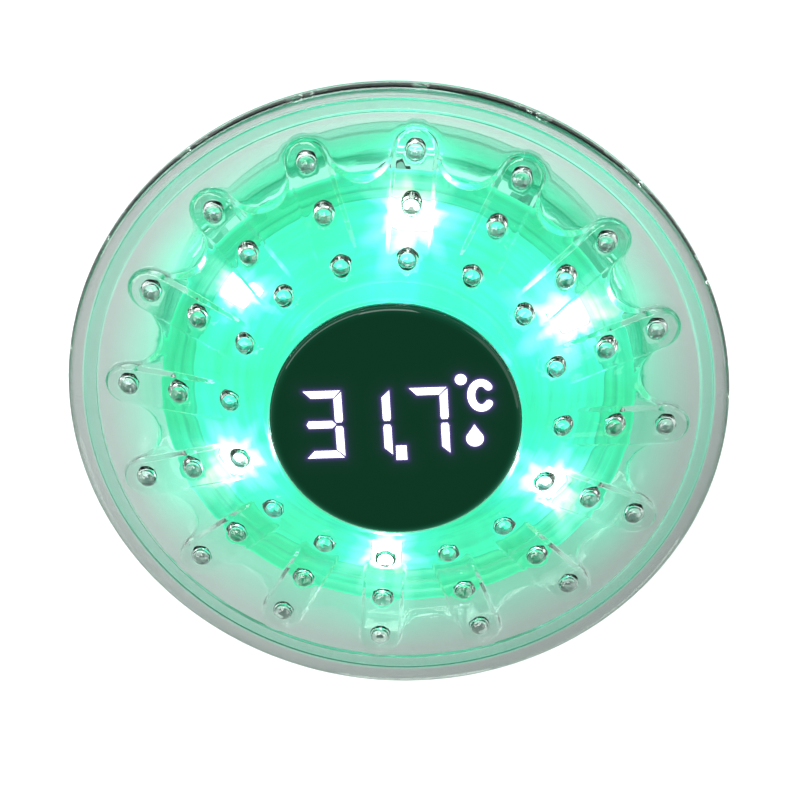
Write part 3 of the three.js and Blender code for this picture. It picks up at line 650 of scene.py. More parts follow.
class Plan:
    """Points and edges of one sector's plan, gathered for a constrained triangulation."""

    def __init__(self, inner, outer, radii):
        self.points, self.edges = [], []
        self.inner, self.outer, self.radii = inner, outer, radii
        half = math.degrees(SECTOR / 2)
        self.low = [(r * math.cos(SECTOR / 2), -r * math.sin(SECTOR / 2)) for r in radii]
        high = [(x, -y) for x, y in self.low]
        outer_arc = arc((0, 0), outer, -half, half, STEPS_PER_SECTOR)
        inner_arc = arc((0, 0), inner, -half, half, STEPS_PER_SECTOR)
        boundary = [*self.low, *outer_arc, *reversed(high), *reversed(inner_arc)]
        self.line(boundary, closed=True)
        self.outline = list(range(len(boundary)))
        self.high_start = len(self.low) + len(outer_arc)

    def line(self, points, closed=False):
        first = len(self.points)
        self.points.extend(points)
        last = len(self.points) - 1
        self.edges.extend((i, i + 1) for i in range(first, last))
        if closed:
            self.edges.append((last, first))

    def across(self, points, radius):
        """A line from one side of the sector to the other, ending at this radius on both."""
        low = self.radii.index(radius)
        high = self.high_start + len(self.radii) - 1 - low
        first = len(self.points)
        self.line(points)
        self.edges += [(low, first), (len(self.points) - 1, high)]

    def rings(self, radii, steps):
        for ring in BUMP_RINGS:
            for radius in radii:
                self.line(circle(radius, ring, steps=steps), closed=True)
            self.points.append((ring, 0.0))

    def fill(self, spacing, clearance):
        taken = np.array(self.points)
        for radius in np.arange(self.inner + spacing * 0.9, self.outer - spacing * 0.6, spacing):
            count = max(3, int(radius * SECTOR / spacing))
            for i in range(1, count):
                angle = -SECTOR / 2 + SECTOR * i / count
                spot = np.array([radius * math.cos(angle), radius * math.sin(angle)])
                if np.hypot(*(taken - spot).T).min() > clearance:
                    self.points.append(tuple(spot))

    def sheet(self, height, flip):
        """The plan's triangles, lifted by a height and repeated around the axis."""
        flat = [Vector(point) for point in self.points]
        placed, _, faces, *_ = delaunay_2d_cdt(flat, self.edges, [self.outline], 1, 1e-5)
        plan = np.array([tuple(point) for point in placed])
        heights = height(plan[:, 0], plan[:, 1])
        verts, triangles = [], []
        for sector in range(FINGER_COUNT):
            turn = math.pi / 2 + FINGER_TURN + sector * SECTOR
            cos, sin = math.cos(turn), math.sin(turn)
            base = len(verts)
            verts.extend((x * cos - y * sin, x * sin + y * cos, z) for (x, y), z in zip(plan, heights))
            for face in faces:
                indices = tuple(base + i for i in face)
                triangles.append(indices[::-1] if flip else indices)
        return verts, triangles


def plain_radii(inner, outer, spacing, special):
    """Evenly spaced radii that leave room for the special ones, and those too."""
    plain = [r for r in np.arange(inner + spacing, outer - spacing / 2, spacing)
             if all(abs(r - s) > spacing * 0.4 for s in special)]
    return sorted([*special, *plain])


def upper_sheet():
    crossings = [SCALLOP_VALLEY_CENTRE - VALLEY_RADIUS + line * SCALLOP_WALL for line in WALL_LINES]
    plan = Plan(LEDGE_OUTER, RELIEF_OUTER, plain_radii(LEDGE_OUTER, RELIEF_OUTER, 0.9, crossings))
    lean, side_step = math.degrees(LEAN), 0.6
    for line, crossing in zip(WALL_LINES, crossings):
        tip_radius = SCALLOP_TIP_RADIUS + line * SCALLOP_WALL
        valley_radius = VALLEY_RADIUS - line * SCALLOP_WALL
        valley_end = 180 + math.degrees(SECTOR / 2)
        upper_valley = arc(VALLEY, valley_radius, lean + 180, valley_end, 16)[1:-1]
        lower_valley = [(x, -y) for x, y in reversed(upper_valley)]
        plan.across([*lower_valley, *arc(TIP, tip_radius, -lean, lean, 34), *upper_valley], crossing)
    for line in WALL_LINES:
        shift = line * FINGER_WALL
        reach = FINGER_HALF_WIDTH + shift
        corner = FINGER_END_CORNER + shift
        corner_at = (FINGER_END + FINGER_END_CORNER, FINGER_HALF_WIDTH - FINGER_END_CORNER)
        straight = np.arange(corner_at[0] + side_step, FINGER_TIP - side_step / 2, side_step)
        upper = [(x, reach) for x in reversed(straight)]
        upper += arc(corner_at, corner, 90, 180, 7)
        lower = [(x, -y) for x, y in reversed(upper)]
        plan.line([*lower, *arc((FINGER_TIP, 0), reach, -90, 90, 22), *upper], closed=True)
    plan.rings([BUMP_RADIUS * share for share in (0.4, 0.7, 0.9, 1.0)], 24)
    plan.fill(spacing=0.85, clearance=0.4)
    return plan.sheet(upper_relief, flip=False)


def lower_sheet():
    radii = plain_radii(UNDERSIDE_INNER, UNDERSIDE_OUTER, 0.9, [])
    plan = Plan(UNDERSIDE_INNER, UNDERSIDE_OUTER, radii)
    plan.rings([HOLE_RADIUS * share for share in (0.2, 0.4, 0.6, 0.78, 0.9, 0.97, 1.0, 1.04, 1.12)], 28)
    plan.fill(spacing=0.95, clearance=0.45)
    return plan.sheet(lower_relief, flip=True)


def cover_rim_outline():
    """The cover's rim in section, from its upper surface round to its underside."""
    rounding = (RIM_RADIUS - RIM_ROUNDING, RIM_TOP - RIM_ROUNDING)
    midway = 46
    return [
        (RELIEF_OUTER, RIM_TOP),
        *reversed(arc(rounding, RIM_ROUNDING, 0, 90, 8)),
        (RIM_RADIUS, SPLIT + NICK), (RIM_RADIUS - NICK, SPLIT),
        (midway, SPLIT), (UNDERSIDE_OUTER, SPLIT),
    ]


def cover_seat_outline():
    """The window's seat in section, from the underside round to the upper surface."""
    level = LEDGE_TOP - LEDGE_THICKNESS
    edge = 0.15
    return [
        (UNDERSIDE_INNER, level), (LEDGE_INNER + 1, level), (LEDGE_INNER + edge, level),
        (LEDGE_INNER, level + edge), (LEDGE_INNER, LEDGE_TOP - edge), (LEDGE_INNER + edge, LEDGE_TOP),
        (LEDGE_OUTER - NICK, LEDGE_TOP), (LEDGE_OUTER, LEDGE_TOP + NICK),
        (LEDGE_OUTER, float(dome_top(LEDGE_OUTER))),
    ]


def strip(outline, steps, start):
    """Vertices and faces of an open turned strip. The outline runs clockwise in section."""
    faces = [face[::-1] for face in turned_faces(len(outline), steps, False)]
    return turned_verts(outline, steps, start), faces


def closed_piece(name, parts):
    """One closed mesh from several open ones whose edges meet."""
    verts, faces = [], []
    for part_verts, part_faces in parts:
        base = len(verts)
        verts.extend(part_verts)
        faces.extend(tuple(base + i for i in face) for face in part_faces)
    obj = piece(name, verts, faces)
    mesh = bmesh.new()
    mesh.from_mesh(obj.data)
    bmesh.ops.remove_doubles(mesh, verts=mesh.verts, dist=0.004 * MM)
    bmesh.ops.recalc_face_normals(mesh, faces=mesh.faces)
    if any(len(edge.link_faces) != 2 for edge in mesh.edges):
        raise ValueError(f"{name} isn't closed")
    mesh.to_mesh(obj.data)
    mesh.free()
    return obj


def top_cover():
    start = math.pi / 2 + FINGER_TURN - SECTOR / 2
    cover = closed_piece("clear_cover", [
        upper_sheet(),
        lower_sheet(),
        strip(cover_rim_outline(), FINE_STEPS, start),
        strip(cover_seat_outline(), FINE_STEPS, start),
    ])
    store(cover, "rim", np.clip((radii_of(points_of(cover)) - RIM_GREY_START) / RIM_GREY_FADE, 0, 1))
    place(cover, cover_plastic(), MAIN_BODY, "clear_cover", "top_cover")


# -------- the hull

def hull_outline():
    fillet_x = CUP_RADIUS + CUP_FILLET
    fillet_z = HULL_TOP - HULL_RIM - CUP_FILLET
    under_rim = HULL_TOP - HULL_RIM
    rounding, edge, corner = 0.9, 0.3, 0.25
    groove_bottom = gasket_low.z - SEAL_CLEARANCE
    groove_outer = SEAL_OUTER + SEAL_CLEARANCE
    groove_inner = SEAL_INNER - SEAL_CLEARANCE
    inside = CUP_RADIUS - CUP_WALL
    return [
        (0, PLATE_BOTTOM), (FOOT_INNER - edge, PLATE_BOTTOM), (FOOT_INNER, PLATE_BOTTOM - edge),
        (FOOT_INNER, edge), (FOOT_INNER + edge, 0),
        (CUP_RADIUS - FOOT_CHAMFER, 0), (CUP_RADIUS - corner, corner), (CUP_RADIUS, FOOT_CHAMFER),
        *reversed(arc((fillet_x, fillet_z), CUP_FILLET, 90, 180, 20)),
        (SEAL_OUTER - NICK, under_rim), (SEAL_OUTER + edge, under_rim),
        *arc((RIM_RADIUS - rounding, under_rim + rounding), rounding, -90, 0, 6),
        (RIM_RADIUS, HULL_TOP - NICK), (RIM_RADIUS - NICK, HULL_TOP),
        (groove_outer + corner, HULL_TOP), (groove_outer, HULL_TOP), (groove_outer, groove_bottom),
        (groove_outer - edge, groove_bottom), (groove_inner + edge, groove_bottom),
        (groove_inner, groove_bottom), (groove_inner, HULL_TOP), (groove_inner - corner, HULL_TOP),
        *arc((fillet_x, fillet_z), CUP_FILLET + HULL_RIM, 90, 180, 20),
        (inside, PLATE_TOP + 1), (inside - 1, PLATE_TOP), (0, PLATE_TOP),
    ]


def middle_of(node):
    """Where a CAD node's box is centred in plan, in millimetres."""
    low, high = corners(node)
    return (low.x + high.x) / 2, (low.y + high.y) / 2


def hull_glow(places):
    """How much LED light shows in the hull: beside the reflector, past each LED and at the seal's groove."""
    radius = np.maximum(radii_of(places), 1)
    stray = GLOW_STRAY * np.maximum(places[:, 1] / radius, 0) ** 3
    glow = np.clip((GLOW_END - radius) / GLOW_FADE + stray, 0, 1)
    for x, y in led_spots(1):
        turn = np.arctan2(places[:, 1] * x - places[:, 0] * y, places[:, 0] * x + places[:, 1] * y)
        strength = BEAM_LEAST + (1 - BEAM_LEAST) * max(y, 0) ** 4
        glow += strength * np.exp(-(turn / BEAM_TURN) ** 2) * np.clip((BEAM_END - radius) / BEAM_FADE, 0, 1)
    glow += INNER_GLOW * np.clip((INNER_GLOW_END - radius) / INNER_GLOW_FADE, 0, 1)
    upper = places[:, 2] > HULL_TOP - 2 * CUP_FILLET
    glow = np.where(upper, np.where(radius < SEAL_INNER - SEAL_MARGIN, glow / 2, 0), CUP_GLOW)
    walls = np.minimum(np.abs(radius - SEAL_INNER), np.abs(radius - SEAL_OUTER)) < WALL_REACH
    return np.where(walls & upper, GROOVE_GLOW, glow)


def lower_hull():
    hull = turned("clear_hull", hull_outline(), 256)
    root = PLATE_BOTTOM + 0.9  # inside the plate, so that posts and bosses join it
    below = PLATE_BOTTOM - 1
    posts = [middle_of(f"board_screw_{i}") for i in range(1, 5)]
    bosses = [middle_of(f"door_screw_{i}") for i in (1, 2)]
    combine(hull, [circle(POST_RADIUS, *p) for p in posts], root, POST_TOP, "UNION")
    combine(hull, [circle(BOSS_RADIUS, *p) for p in bosses], root, BOSS_TOP, "UNION")
    openings = [
        rounded_rectangle(BAY_HALF_LENGTH, BAY_HALF_WIDTH, BAY_CORNER),
        circle(BUTTON_HOLE, *middle_of("power_button")),
        circle(PROBE_HOLE, *middle_of("temperature_probe")),
        *[circle(PIN_HOLE, *middle_of(f"electrode_{i}"), steps=20) for i in (1, 2)],
    ]
    combine(hull, openings, below, PLATE_TOP + 1)
    combine(hull, [circle(POST_BORE, *p, steps=20) for p in posts], POST_TOP - POST_BORE_DEPTH, POST_TOP + 1)
    combine(hull, [circle(BOSS_BORE, *p, steps=20) for p in bosses], below, BOSS_BORE_TOP)
    crisp(hull)
    store(hull, "glow", hull_glow(points_of(hull)))
    place(hull, glowing_hull(), MAIN_BODY, "clear_hull", "lower_hull")


def rim_gasket():
    """A flat seal ring that carries the LED light. Its edges catch the most."""
    low, high = gasket_low.z, gasket_high.z
    corner, inset = 0.18, 0.2
    dark_half, fade, least = 0.5, 0.4, 0.35
    lean, lean_length = 0.8, 1.28  # the brighter side lies between +Y and +X
    outer, inner = SEAL_OUTER - corner, SEAL_INNER + corner
    outline = [
        *arc((outer, low + corner), corner, -90, 0, 3),
        *arc((outer, high - corner), corner, 0, 90, 3),
        *[(x, high) for x in np.linspace(outer - inset, inner + inset, 6)],
        *arc((inner, high - corner), corner, 90, 180, 3),
        *arc((inner, low + corner), corner, 180, 270, 3),
    ]
    ring = turned("glowing_seal", outline, 256)
    places = points_of(ring)
    radius = radii_of(places)
    across = np.abs(radius - (SEAL_INNER + SEAL_OUTER) / 2) / ((SEAL_OUTER - SEAL_INNER) / 2)
    across = np.clip((across - dark_half) / fade, 0, 1)
    nearer = 0.5 + 0.5 * (places[:, 1] + lean * places[:, 0]) / (lean_length * radius)
    store(ring, "across", across * (least + (1 - least) * nearer))
    place(ring, lit_seal(), MAIN_BODY, "seal_ring", "rim_gasket")


# -------- window and digits

def digit_segments(letters, right):
    """Polygons of a digit's lit segments, by the usual letters a to g."""
    left = right - DIGIT_WIDTH
    bottom, top = DIGIT_BOTTOM, DIGIT_BOTTOM + DIGIT_HEIGHT
    middle = (bottom + top) / 2
    stroke, gap = DIGIT_STROKE, SEGMENT_GAP
    bevel = stroke * 0.93
    bar = stroke / 2
    nose = bar * 0.55
    foot = stroke + 1.5 * gap
    shapes = {
        "a": [(left + gap, top), (left + bevel + gap, top - stroke),
              (right - bevel - gap, top - stroke), (right - gap, top)],
        "b": [(right, top - 2 * gap), (right - stroke, top - foot), (right - stroke, middle + bar + gap),
              (right - stroke + nose * 0.5, middle + bar * 0.35 + gap),
              (right - nose * 0.6, middle + bar * 0.35 + gap), (right, middle + bar + gap)],
        "g": [(left + nose, middle), (left + 2 * nose, middle - bar),
              (right - stroke - gap - nose, middle - bar), (right - stroke + nose * 0.4, middle),
              (right - stroke - gap - nose, middle + bar), (left + 2 * nose, middle + bar)],
    }
    for upper, lower in (("a", "d"), ("b", "c")):
        shapes[lower] = [(x, 2 * middle - y) for x, y in shapes[upper]]
    return [shapes[letter] for letter in letters]


def letter_c():
    """The C of the unit: a stroke of even width along a tall arc, with round ends."""
    centre, reach, rise, half_stroke = (12.9, 4.2), 1.47, 2.06, 0.57
    opening = 41
    ends = []
    for side in (-1, 1):
        angles = np.radians(np.linspace(opening, 360 - opening, 40))
        normal = np.array([np.cos(angles) / reach, np.sin(angles) / rise])
        normal = normal / np.hypot(*normal)
        path = np.array([centre[0] + reach * np.cos(angles), centre[1] + rise * np.sin(angles)])
        ends.append([tuple(point) for point in (path + side * half_stroke * normal).T])
    inner, outer = ends
    caps = []
    for here, there in ((outer[-1], inner[-1]), (inner[0], outer[0])):
        middle = ((here[0] + there[0]) / 2, (here[1] + there[1]) / 2)
        start = math.degrees(math.atan2(here[1] - middle[1], here[0] - middle[0]))
        caps.append(arc(middle, half_stroke, start, start + 180, 8)[1:-1])
    return [*outer, *caps[0], *reversed(inner), *caps[1]]


def water_drop():
    """A drop: a round belly drawn up to a point."""
    centre, radius, tip = (11.7, -2.85), 1.3, 2.32
    belly = arc(centre, radius, -205, 25, 30)
    return [*belly, (centre[0] + radius * 0.35, centre[1] + tip * 0.68), (centre[0], centre[1] + tip),
            (centre[0] - radius * 0.35, centre[1] + tip * 0.68)]


def display_shapes():
    """The lit outlines: digits, decimal point and degree dot, and then the unit and the drop."""
    digits = []
    for letters, right in zip(("abcdg", "bc", "abc"), DIGIT_RIGHT_EDGES):
        digits += digit_segments(letters, right)
    decimal_point = [(-0.13, -6.0), (1.48, -6.0), (1.45, -3.65), (-0.1, -3.65)]
    degree_dot = circle(0.87, 10.0, 6.88, steps=28)
    return [*digits, decimal_point, degree_dot], [letter_c(), water_drop()]


def glyph(name, outlines, mat):
    """Thin raised plates of the given outlines, lying on the window's face."""
    obj = plates(name, outlines, LENS_TOP - DIGIT_THICKNESS, LENS_TOP + DIGIT_THICKNESS)
    place(obj, mat, MAIN_BODY, "display_lit")


def distance_to_outlines(points, outlines):
    """Distance of each point to the nearest outline's edge."""
    nearest = np.full(len(points), 1e9)
    for outline in outlines:
        ends = np.array(outline)
        for start, end in zip(ends, np.roll(ends, -1, axis=0)):
            along = end - start
            share = np.clip(((points - start) @ along) / max(along @ along, 1e-9), 0, 1)
            nearest = np.minimum(nearest, np.hypot(*(points - start - share[:, None] * along).T))
    return nearest


def display_window(outlines):
    """The black window. Its face has fine rings, which carry the halo round the digits."""
    chamfer, ring_spacing, lit_band, least = 0.4, 0.24, 0.4, 0.25
    face_radius = LENS_RADIUS - LENS_ROUNDING
    outline = [(0, lens_low.z), (LENS_RADIUS - chamfer, lens_low.z), (LENS_RADIUS, lens_low.z + chamfer)]
    outline += arc((face_radius, LENS_TOP - LENS_ROUNDING), LENS_ROUNDING, 0, 90, 10)
    outline += [(r, LENS_TOP) for r in np.arange(face_radius - 0.1, 0.2, -ring_spacing)]
    outline += [(0, LENS_TOP)]
    lens = turned("display_window", outline, 288)
    places = points_of(lens)
    flat = places[:, :2]
    radius = np.hypot(*flat.T)
    glow = np.exp(-distance_to_outlines(flat, outlines) / HALO_REACH)
    store(lens, "halo", np.where(places[:, 2] > LENS_TOP - 0.01, glow, 0))
    share = np.clip((radius - face_radius + lit_band) / (LENS_RADIUS - face_radius + lit_band), 0, 1) ** 2
    farther = np.clip(-flat[:, 1] / np.maximum(radius, 1), 0, 1)
    store(lens, "edge", share * (least + (1 - least) * farther))
    place(lens, window_material(), MAIN_BODY, "window_black", "display_lens")


def display():
    digits, signs = display_shapes()
    low, high = (0.86, 0.86, 1.0), (0.95, 0.95, 1.0)
    mat = lamp("segment_glow", (0.9, 0.9, 1.0), 0.5, 1500.0, low, high, SEGMENT_GLOW)
    display_window(digits + signs)
    glyph("lit_digits", digits, mat)
    glyph("lit_unit_and_drop", signs, mat)


# -------- reflector and LEDs

def reflector_outline():
    wall = REFLECTOR_WALL
    floor, tube_top = reflector_low.z, reflector_high.z
    rim_radius, rim_top = reflector_high.x, REFLECTOR_RIM_TOP
    outline = [(TUBE_INNER, floor), (CONE_FOOT, floor), (rim_radius, rim_top - wall), (rim_radius, rim_top)]
    terraces, riser, inset = 3, 0.75, 0.5
    for i in range(terraces):
        high = i / terraces
        low = (i + riser) / terraces
        for share, drop in ((high, high), (low, low * 0.9 + high * 0.1), (low + 0.02, low + 0.3 / terraces)):
            radius = rim_radius - inset - (rim_radius - inset - CONE_FOOT) * share
            outline.append((radius, rim_top - (rim_top - floor - wall) * min(drop, 1)))
    outline += [(r, floor + wall) for r in np.arange(CONE_FOOT, TUBE_INNER + wall + 0.3, -0.4)]
    outline += [(TUBE_INNER + wall, floor + wall + 0.3)]
    outline += [(TUBE_INNER + wall, z) for z in np.linspace(floor + wall + 1, tube_top, 8)]
    outline += [(TUBE_INNER, tube_top)]
    return outline


def led_window(x, y):
    """The square opening in the reflector's floor over the LED at x, y, facing the centre."""
    turn = math.atan2(y, x)
    cos, sin = math.cos(turn), math.sin(turn)
    outline = rounded_rectangle(LED_WINDOW, LED_WINDOW, LED_CORNER)
    return [(x + u * cos - v * sin, y + u * sin + v * cos) for u, v in outline]


def led_reach(flat):
    """Distance from the nearest LED, shortened along the rays that flare out of it."""
    reach = np.full(len(flat), 1e9)
    outward = 1.3  # how much further the light runs outwards than sideways
    for i, (x, y) in enumerate(led_spots(LED_RING)):
        out = ((flat[:, 0] - x) * x + (flat[:, 1] - y) * y) / LED_RING
        side = ((flat[:, 1] - y) * x - (flat[:, 0] - x) * y) / LED_RING
        turn = np.arctan2(side, out)
        phase = 1.7 * i
        flare = 1.0
        for order, (count, size) in enumerate(FLARES, 1):
            flare = flare + size * np.sin(count * turn + order * phase)
        reach = np.minimum(reach, np.hypot(out / outward, side) / (flare * LED_SPREAD[i]))
    return reach


def reflector():
    # The reflector's green colour and glow are painted LED light; its plastic is white.
    cup = turned("led_lit_reflector", reflector_outline(), 288)
    floor, floor_top = reflector_low.z, reflector_low.z + REFLECTOR_WALL
    windows = [led_window(*spot) for spot in led_spots(LED_RING)]
    combine(cup, windows, floor - 1, floor_top + 1)
    crisp(cup, 50.0)
    places = points_of(cup)
    radius = radii_of(places)
    below = (places[:, 2] < floor_top - 0.1) & (radius < CONE_FOOT)
    reach = np.clip(led_reach(places) / LED_REACH, 0, 1)
    store(cup, "reach", np.where(below, 0.5, reach))
    store(cup, "cone", np.clip((radius - CONE_FOOT) / (reflector_high.x - CONE_FOOT), 0, 1))
    place(cup, reflector_material(), MAIN_BODY, "reflector_lit", "reflector")


def finish(node, mat):
    """Gives a CAD node that stays as it is its material."""
    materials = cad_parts[node].data.materials
    materials.clear()
    materials.append(mat)


def leds():
    mat = lamp("led_glow", (0.9, 1.0, 0.97), 0.2, 900.0, (0.85, 1.0, 0.97), 1.0, LED_GLOW)
    for i in range(LED_COUNT):
        finish(f"led_{i + 1}", mat)


# -------- underside pieces and cells

def turned_part(node, name, outline, steps=64):
    """A turned piece centred on a CAD node, with crisp corners."""
    obj = turned(name, outline, steps)
    x, y = middle_of(node)
    obj.data.transform(Matrix.Translation((x * MM, y * MM, 0)))
    crisp(obj)
    return obj


def half_width(node):
    low, high = corners(node)
    return (high.x - low.x) / 2


def power_button(mat):
    """A soft cap with a dished face and a rounded edge, on its sealing flange."""
    low, high = corners("power_button")
    flange, cap, dish, pusher = half_width("power_button"), 4.4, 3.3, 1.9
    edge, corner, fillet, nick = 0.7, 0.15, 0.3, 0.2
    flange_low, flange_top = 4.9, 6.0
    rim, sag = 0.4, 0.35
    button = turned_part("power_button", "soft_button", [
        *[(r, low.z + rim - sag * (r / dish) ** 2) for r in (0, 0.8, 1.6, 2.4, dish)],
        *arc((cap - edge, low.z + edge), edge, -90, 0, 6),
        (cap, flange_low - fillet), (cap + fillet, flange_low), (flange - corner, flange_low),
        (flange, flange_low + corner), (flange, flange_top - corner), (flange - corner, flange_top),
        (pusher + fillet, flange_top), (pusher, flange_top + fillet),
        (pusher, high.z - nick), (pusher - nick, high.z), (0, high.z),
    ])
    place(button, mat, "button", "button_silicone", "power_button")


def probe(mat):
    """A deep-drawn steel cap with a round nose and a flange."""
    low, high = corners("temperature_probe")
    flange, radius, wall, nose, thickness, fillet = half_width("temperature_probe"), 3.0, 0.6, 0.9, 0.7, 0.15
    flange_low = high.z - thickness
    nose_at = (radius - nose, low.z + nose)
    cap = turned_part("temperature_probe", "probe_cap", [
        (0, low.z), *arc(nose_at, nose, -90, 0, 8),
        (radius, flange_low - fillet), (radius + fillet, flange_low), (flange - NICK, flange_low),
        (flange, flange_low + NICK), (flange, high.z - NICK), (flange - NICK, high.z),
        (radius - wall, high.z), *arc(nose_at, nose - wall, 0, -90, 5), (0, low.z + wall),
    ])
    place(cap, mat, MAIN_BODY, "probe_steel", "temperature_probe")


def electrodes(mat):
    """Round-headed contact pins."""
    shaft, edge, nick = 1.1, 0.15, 0.2
    head_top = PLATE_BOTTOM - 0.05
    for number in (1, 2):
        node = f"electrode_{number}"
        low, high = corners(node)
        head, crown = half_width(node), head_top - low.z - edge
        dome = [(head * x, head_top - edge + crown * z) for x, z in arc((0, 0), 1, -90, 0, 9)]
        pin = turned_part(node, f"contact_pin_{number}", [
            (0, low.z), *dome[1:], (head, head_top), (shaft, head_top),
            (shaft, high.z - nick), (shaft - nick, high.z), (0, high.z),
        ], 40)
        place(pin, mat, MAIN_BODY, "probe_steel", node)


def door_screws(mat):
    """Slotted pan heads with a ridged shaft."""
    height, shaft, ridge, pitch = 1.1, 1.2, 0.12, 0.25
    slot_half_width, slot_half_length = 0.25, 3
    for number in (1, 2):
        node = f"door_screw_{number}"
        low, high = corners(node)
        head, head_top = half_width(node), low.z + height
        ridges = np.arange(head_top + 0.6, high.z - 0.3, pitch)
        screw = turned_part(node, f"slotted_screw_{number}", [
            (0, low.z), (head - 0.5, low.z), (head - 0.15, low.z + 0.12), (head, low.z + 0.45),
            (head, head_top - 0.05), (head - 0.05, head_top), (shaft, head_top),
            *[(shaft - ridge * (step % 2), float(z)) for step, z in enumerate(ridges)],
            (shaft - 0.4, high.z), (0, high.z),
        ], 40)
        x, y = middle_of(node)
        sides = ((-1, -1), (1, -1), (1, 1), (-1, 1))
        slot = [(x + slot_half_length * u, y + slot_half_width * v) for u, v in sides]
        combine(screw, [slot], low.z - 1, low.z + height / 2)
        crisp(screw)
        place(screw, mat, "door", "screw_steel", node)


def cell_material():
    """A printed wrap with plain bands, and bare plated ends."""
    plated, blue, band, dark = (0.6, 0.59, 0.56), (0.05, 0.16, 0.25), (0.6, 0.62, 0.62), (0.03, 0.1, 0.16)
    mat, tree, bsdf = shader("cell_print", blue, 0.3)
    along = attribute(tree, "along")
    color = ramp(tree, along, [
        (0.0, plated), (0.03, blue), (0.28, blue), (0.285, band), (0.32, band), (0.325, dark),
        (0.95, dark), (0.955, plated),
    ])
    worn = ramp(tree, noise(tree, 300.0), [(0.3, 0.85), (0.7, 1.0)])
    bare = ramp(tree, along, [(0.0, 1.0), (0.03, 0.0), (0.95, 0.0), (0.955, 1.0)])
    set_inputs(bsdf, Base_Color=blended(tree, color, worn), Metallic=bare)
    return mat


def cells():
    """Three flat-lying AAA cells. The middle one lies the other way round."""
    mat = cell_material()
    radius, nub, nub_length, edge, nick = 5.25, 1.9, 0.8, 0.4, 0.2
    for number, way in ((1, 1), (2, -1), (3, 1)):
        node = f"battery_{number}"
        low, high = corners(node)
        half = half_width(node)
        shoulder = half - nub_length
        cell = turned(f"aaa_cell_{number}", [
            (0, -half + nick), (radius - 1.2, -half + nick), (radius - 0.9, -half), (radius - edge, -half),
            (radius, -half + edge), *[(radius, z) for z in np.linspace(-half + 1, shoulder - 1, 60)],
            (radius, shoulder - edge), (radius - edge, shoulder), (nub + edge, shoulder - nick),
            (nub, shoulder), (nub, half - nick), (nub - nick, half), (0, half),
        ], 64)
        store(cell, "along", (points_of(cell)[:, 2] + half) / (2 * half))
        middle = (low + high) / 2 * MM
        cell.data.transform(Matrix.Translation(middle) @ Matrix.Rotation(way * math.pi / 2, 4, "Y"))
        crisp(cell)
        place(cell, mat, MAIN_BODY, "cell_wrap", node)


# -------- carried-over CAD nodes

def soften(node, width):
    """A small round along a CAD piece's edges."""
    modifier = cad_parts[node].modifiers.new("soft edges", "BEVEL")
    modifier.width = width * MM
    modifier.segments = 2
    modifier.limit_method = "ANGLE"
    modifier.angle_limit = math.radians(40)


def finish_nodes():
    """Materials and softened edges for the CAD pieces that stay as they are."""
    steel = metal("turned_steel", (0.62, 0.63, 0.64), 0.3)
    silicone = plastic("grey_silicone", (0.3, 0.34, 0.33), 0.6)
    nickel = metal("nickel_plate", (0.7, 0.69, 0.66), 0.28)
    black_nodes = ("display_shroud", "display_module", "pin_header", "controller_chip", "led_driver_chip",
                   "battery_lead_black", "power_switch", "thermistor")
    for mat, nodes in (
        (plastic("board_mask", (0.02, 0.16, 0.08), 0.35), ("display_board", "main_board")),
        (plastic("black_plastic", (0.02, 0.021, 0.023), 0.45), black_nodes),
        (plastic("white_plastic", (0.75, 0.78, 0.79), 0.45), ("battery_tray", "button_retainer")),
        (plastic("black_rubber", (0.03, 0.032, 0.034), 0.75), ("lens_seal", "door_gasket", "probe_seal")),
        (plastic("cream_plastic", (0.7, 0.66, 0.52), 0.5), ("switch_plunger",)),
        (plastic("door_plastic", (0.62, 0.7, 0.67), 0.3), ("battery_door",)),
        (plastic("red_insulation", (0.5, 0.03, 0.02), 0.5), ("battery_lead_red",)),
        (plastic("pale_insulation", (0.8, 0.78, 0.72), 0.5), ("sensor_lead",)),
        (steel, ("buffer_capacitor", *[f"board_screw_{i}" for i in range(1, 5)])),
        (nickel, [f"contact_{kind}_{i}" for kind in ("spring", "plate") for i in range(1, 4)]),
    ):
        for node in nodes:
            finish(node, mat)
    for node, width in (("battery_door", 0.25), ("battery_tray", 0.2), ("button_retainer", 0.15)):
        soften(node, width)
    power_button(silicone)
    probe(steel)
    electrodes(steel)
    door_screws(steel)


# -------- studio

def direction_from(azimuth, elevation):
    """The unit vector towards an azimuth from +X and an elevation, in degrees."""
    a, e = math.radians(azimuth), math.radians(elevation)
    return Vector((math.cos(e) * math.cos(a), math.cos(e) * math.sin(a), math.sin(e)))


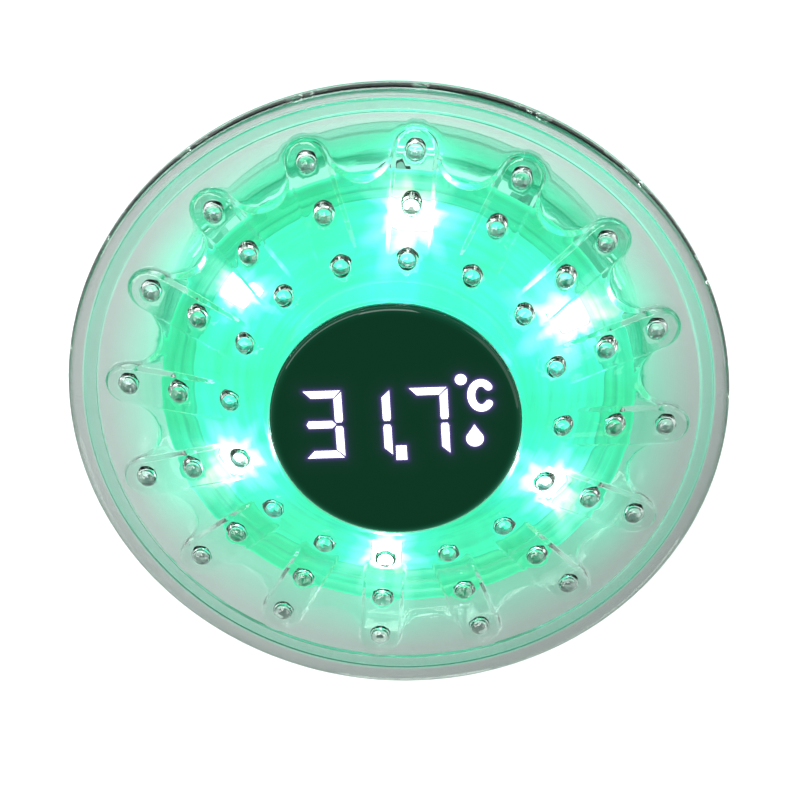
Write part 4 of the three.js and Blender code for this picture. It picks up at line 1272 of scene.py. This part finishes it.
def camera():
    """The view from beyond the top edge of the digits, looking down, with the far side at the bottom."""
    elevation, azimuth, roll = 64.2, 82.4, math.radians(4.96)
    distance, lens = 361.2, 107.6
    back = direction_from(azimuth, elevation)
    level = direction_from(azimuth - 90, 0)
    away = back.cross(level)
    right = level * math.cos(roll) + away * math.sin(roll)
    up = back.cross(right)
    data = bpy.data.cameras.new("camera")
    data.lens = lens
    data.sensor_width = 36
    data.shift_x, data.shift_y = 0.0035, 0.0026
    data.clip_start, data.clip_end = 0.01, 100
    obj = add("camera", data)
    place_at = (Vector((0, 0, RIM_TOP)) + back * distance) * MM
    turn = Matrix((right, up, back)).transposed().to_4x4()
    obj.matrix_world = Matrix.Translation(place_at) @ turn
    bpy.context.scene.camera = obj


def softbox(name, azimuth, elevation, distance, width, height, power):
    """A flat area light that looks at the object, in degrees, metres and watts."""
    data = bpy.data.lights.new(name, "AREA")
    data.shape = "RECTANGLE"
    data.size = width
    data.size_y = height
    data.energy = power
    obj = add(name, data)
    towards = direction_from(azimuth, elevation)
    obj.location = towards * distance
    obj.rotation_mode = "QUATERNION"
    obj.rotation_quaternion = (-towards).to_track_quat("-Z", "Y")


def soft_sky():
    """A grey sky, darker overhead, which gives clear edges their dark lines."""
    world = bpy.data.worlds.new("studio")
    world.use_nodes = True
    tree = world.node_tree
    split = new_node(tree, "SeparateXYZ", Vector=new_node(tree, "TexCoord").outputs["Generated"])
    shade = ramp(tree, split.outputs["Z"], [(0.5, SKY_LOW), (0.8, SKY_HIGH)])
    set_inputs(tree.nodes["Background"], Color=shade)
    return world


def studio():
    scene = bpy.context.scene
    scene.view_settings.view_transform = "Standard"
    scene.world = soft_sky()
    half, low = FLOOR_REACH, FLOOR_HEIGHT
    ends = [(-half, -half, low), (half, -half, low), (half, half, low), (-half, half, low)]
    floor = piece("floor", ends, [(0, 1, 2, 3)])
    mat, tree, bsdf = shader("floor_paper", (0.93, 0.93, 0.93), 0.9)
    bump(tree, bsdf, noise(tree, 400.0), 0.05)
    set_inputs(bsdf, Emission_Color=(1, 1, 1, 1), Emission_Strength=FLOOR_GLOW)
    floor.data.materials.append(mat)
    softbox("key", 95, 44, 1.3, 0.7, 0.5, 11)
    softbox("left", 145, 36, 1.3, 1.3, 0.4, 11)
    softbox("right", 5, 30, 1.3, 1.2, 0.9, 8)


camera()
studio()
top_cover()
lower_hull()
rim_gasket()
display()
reflector()
leds()
cells()
finish_nodes()
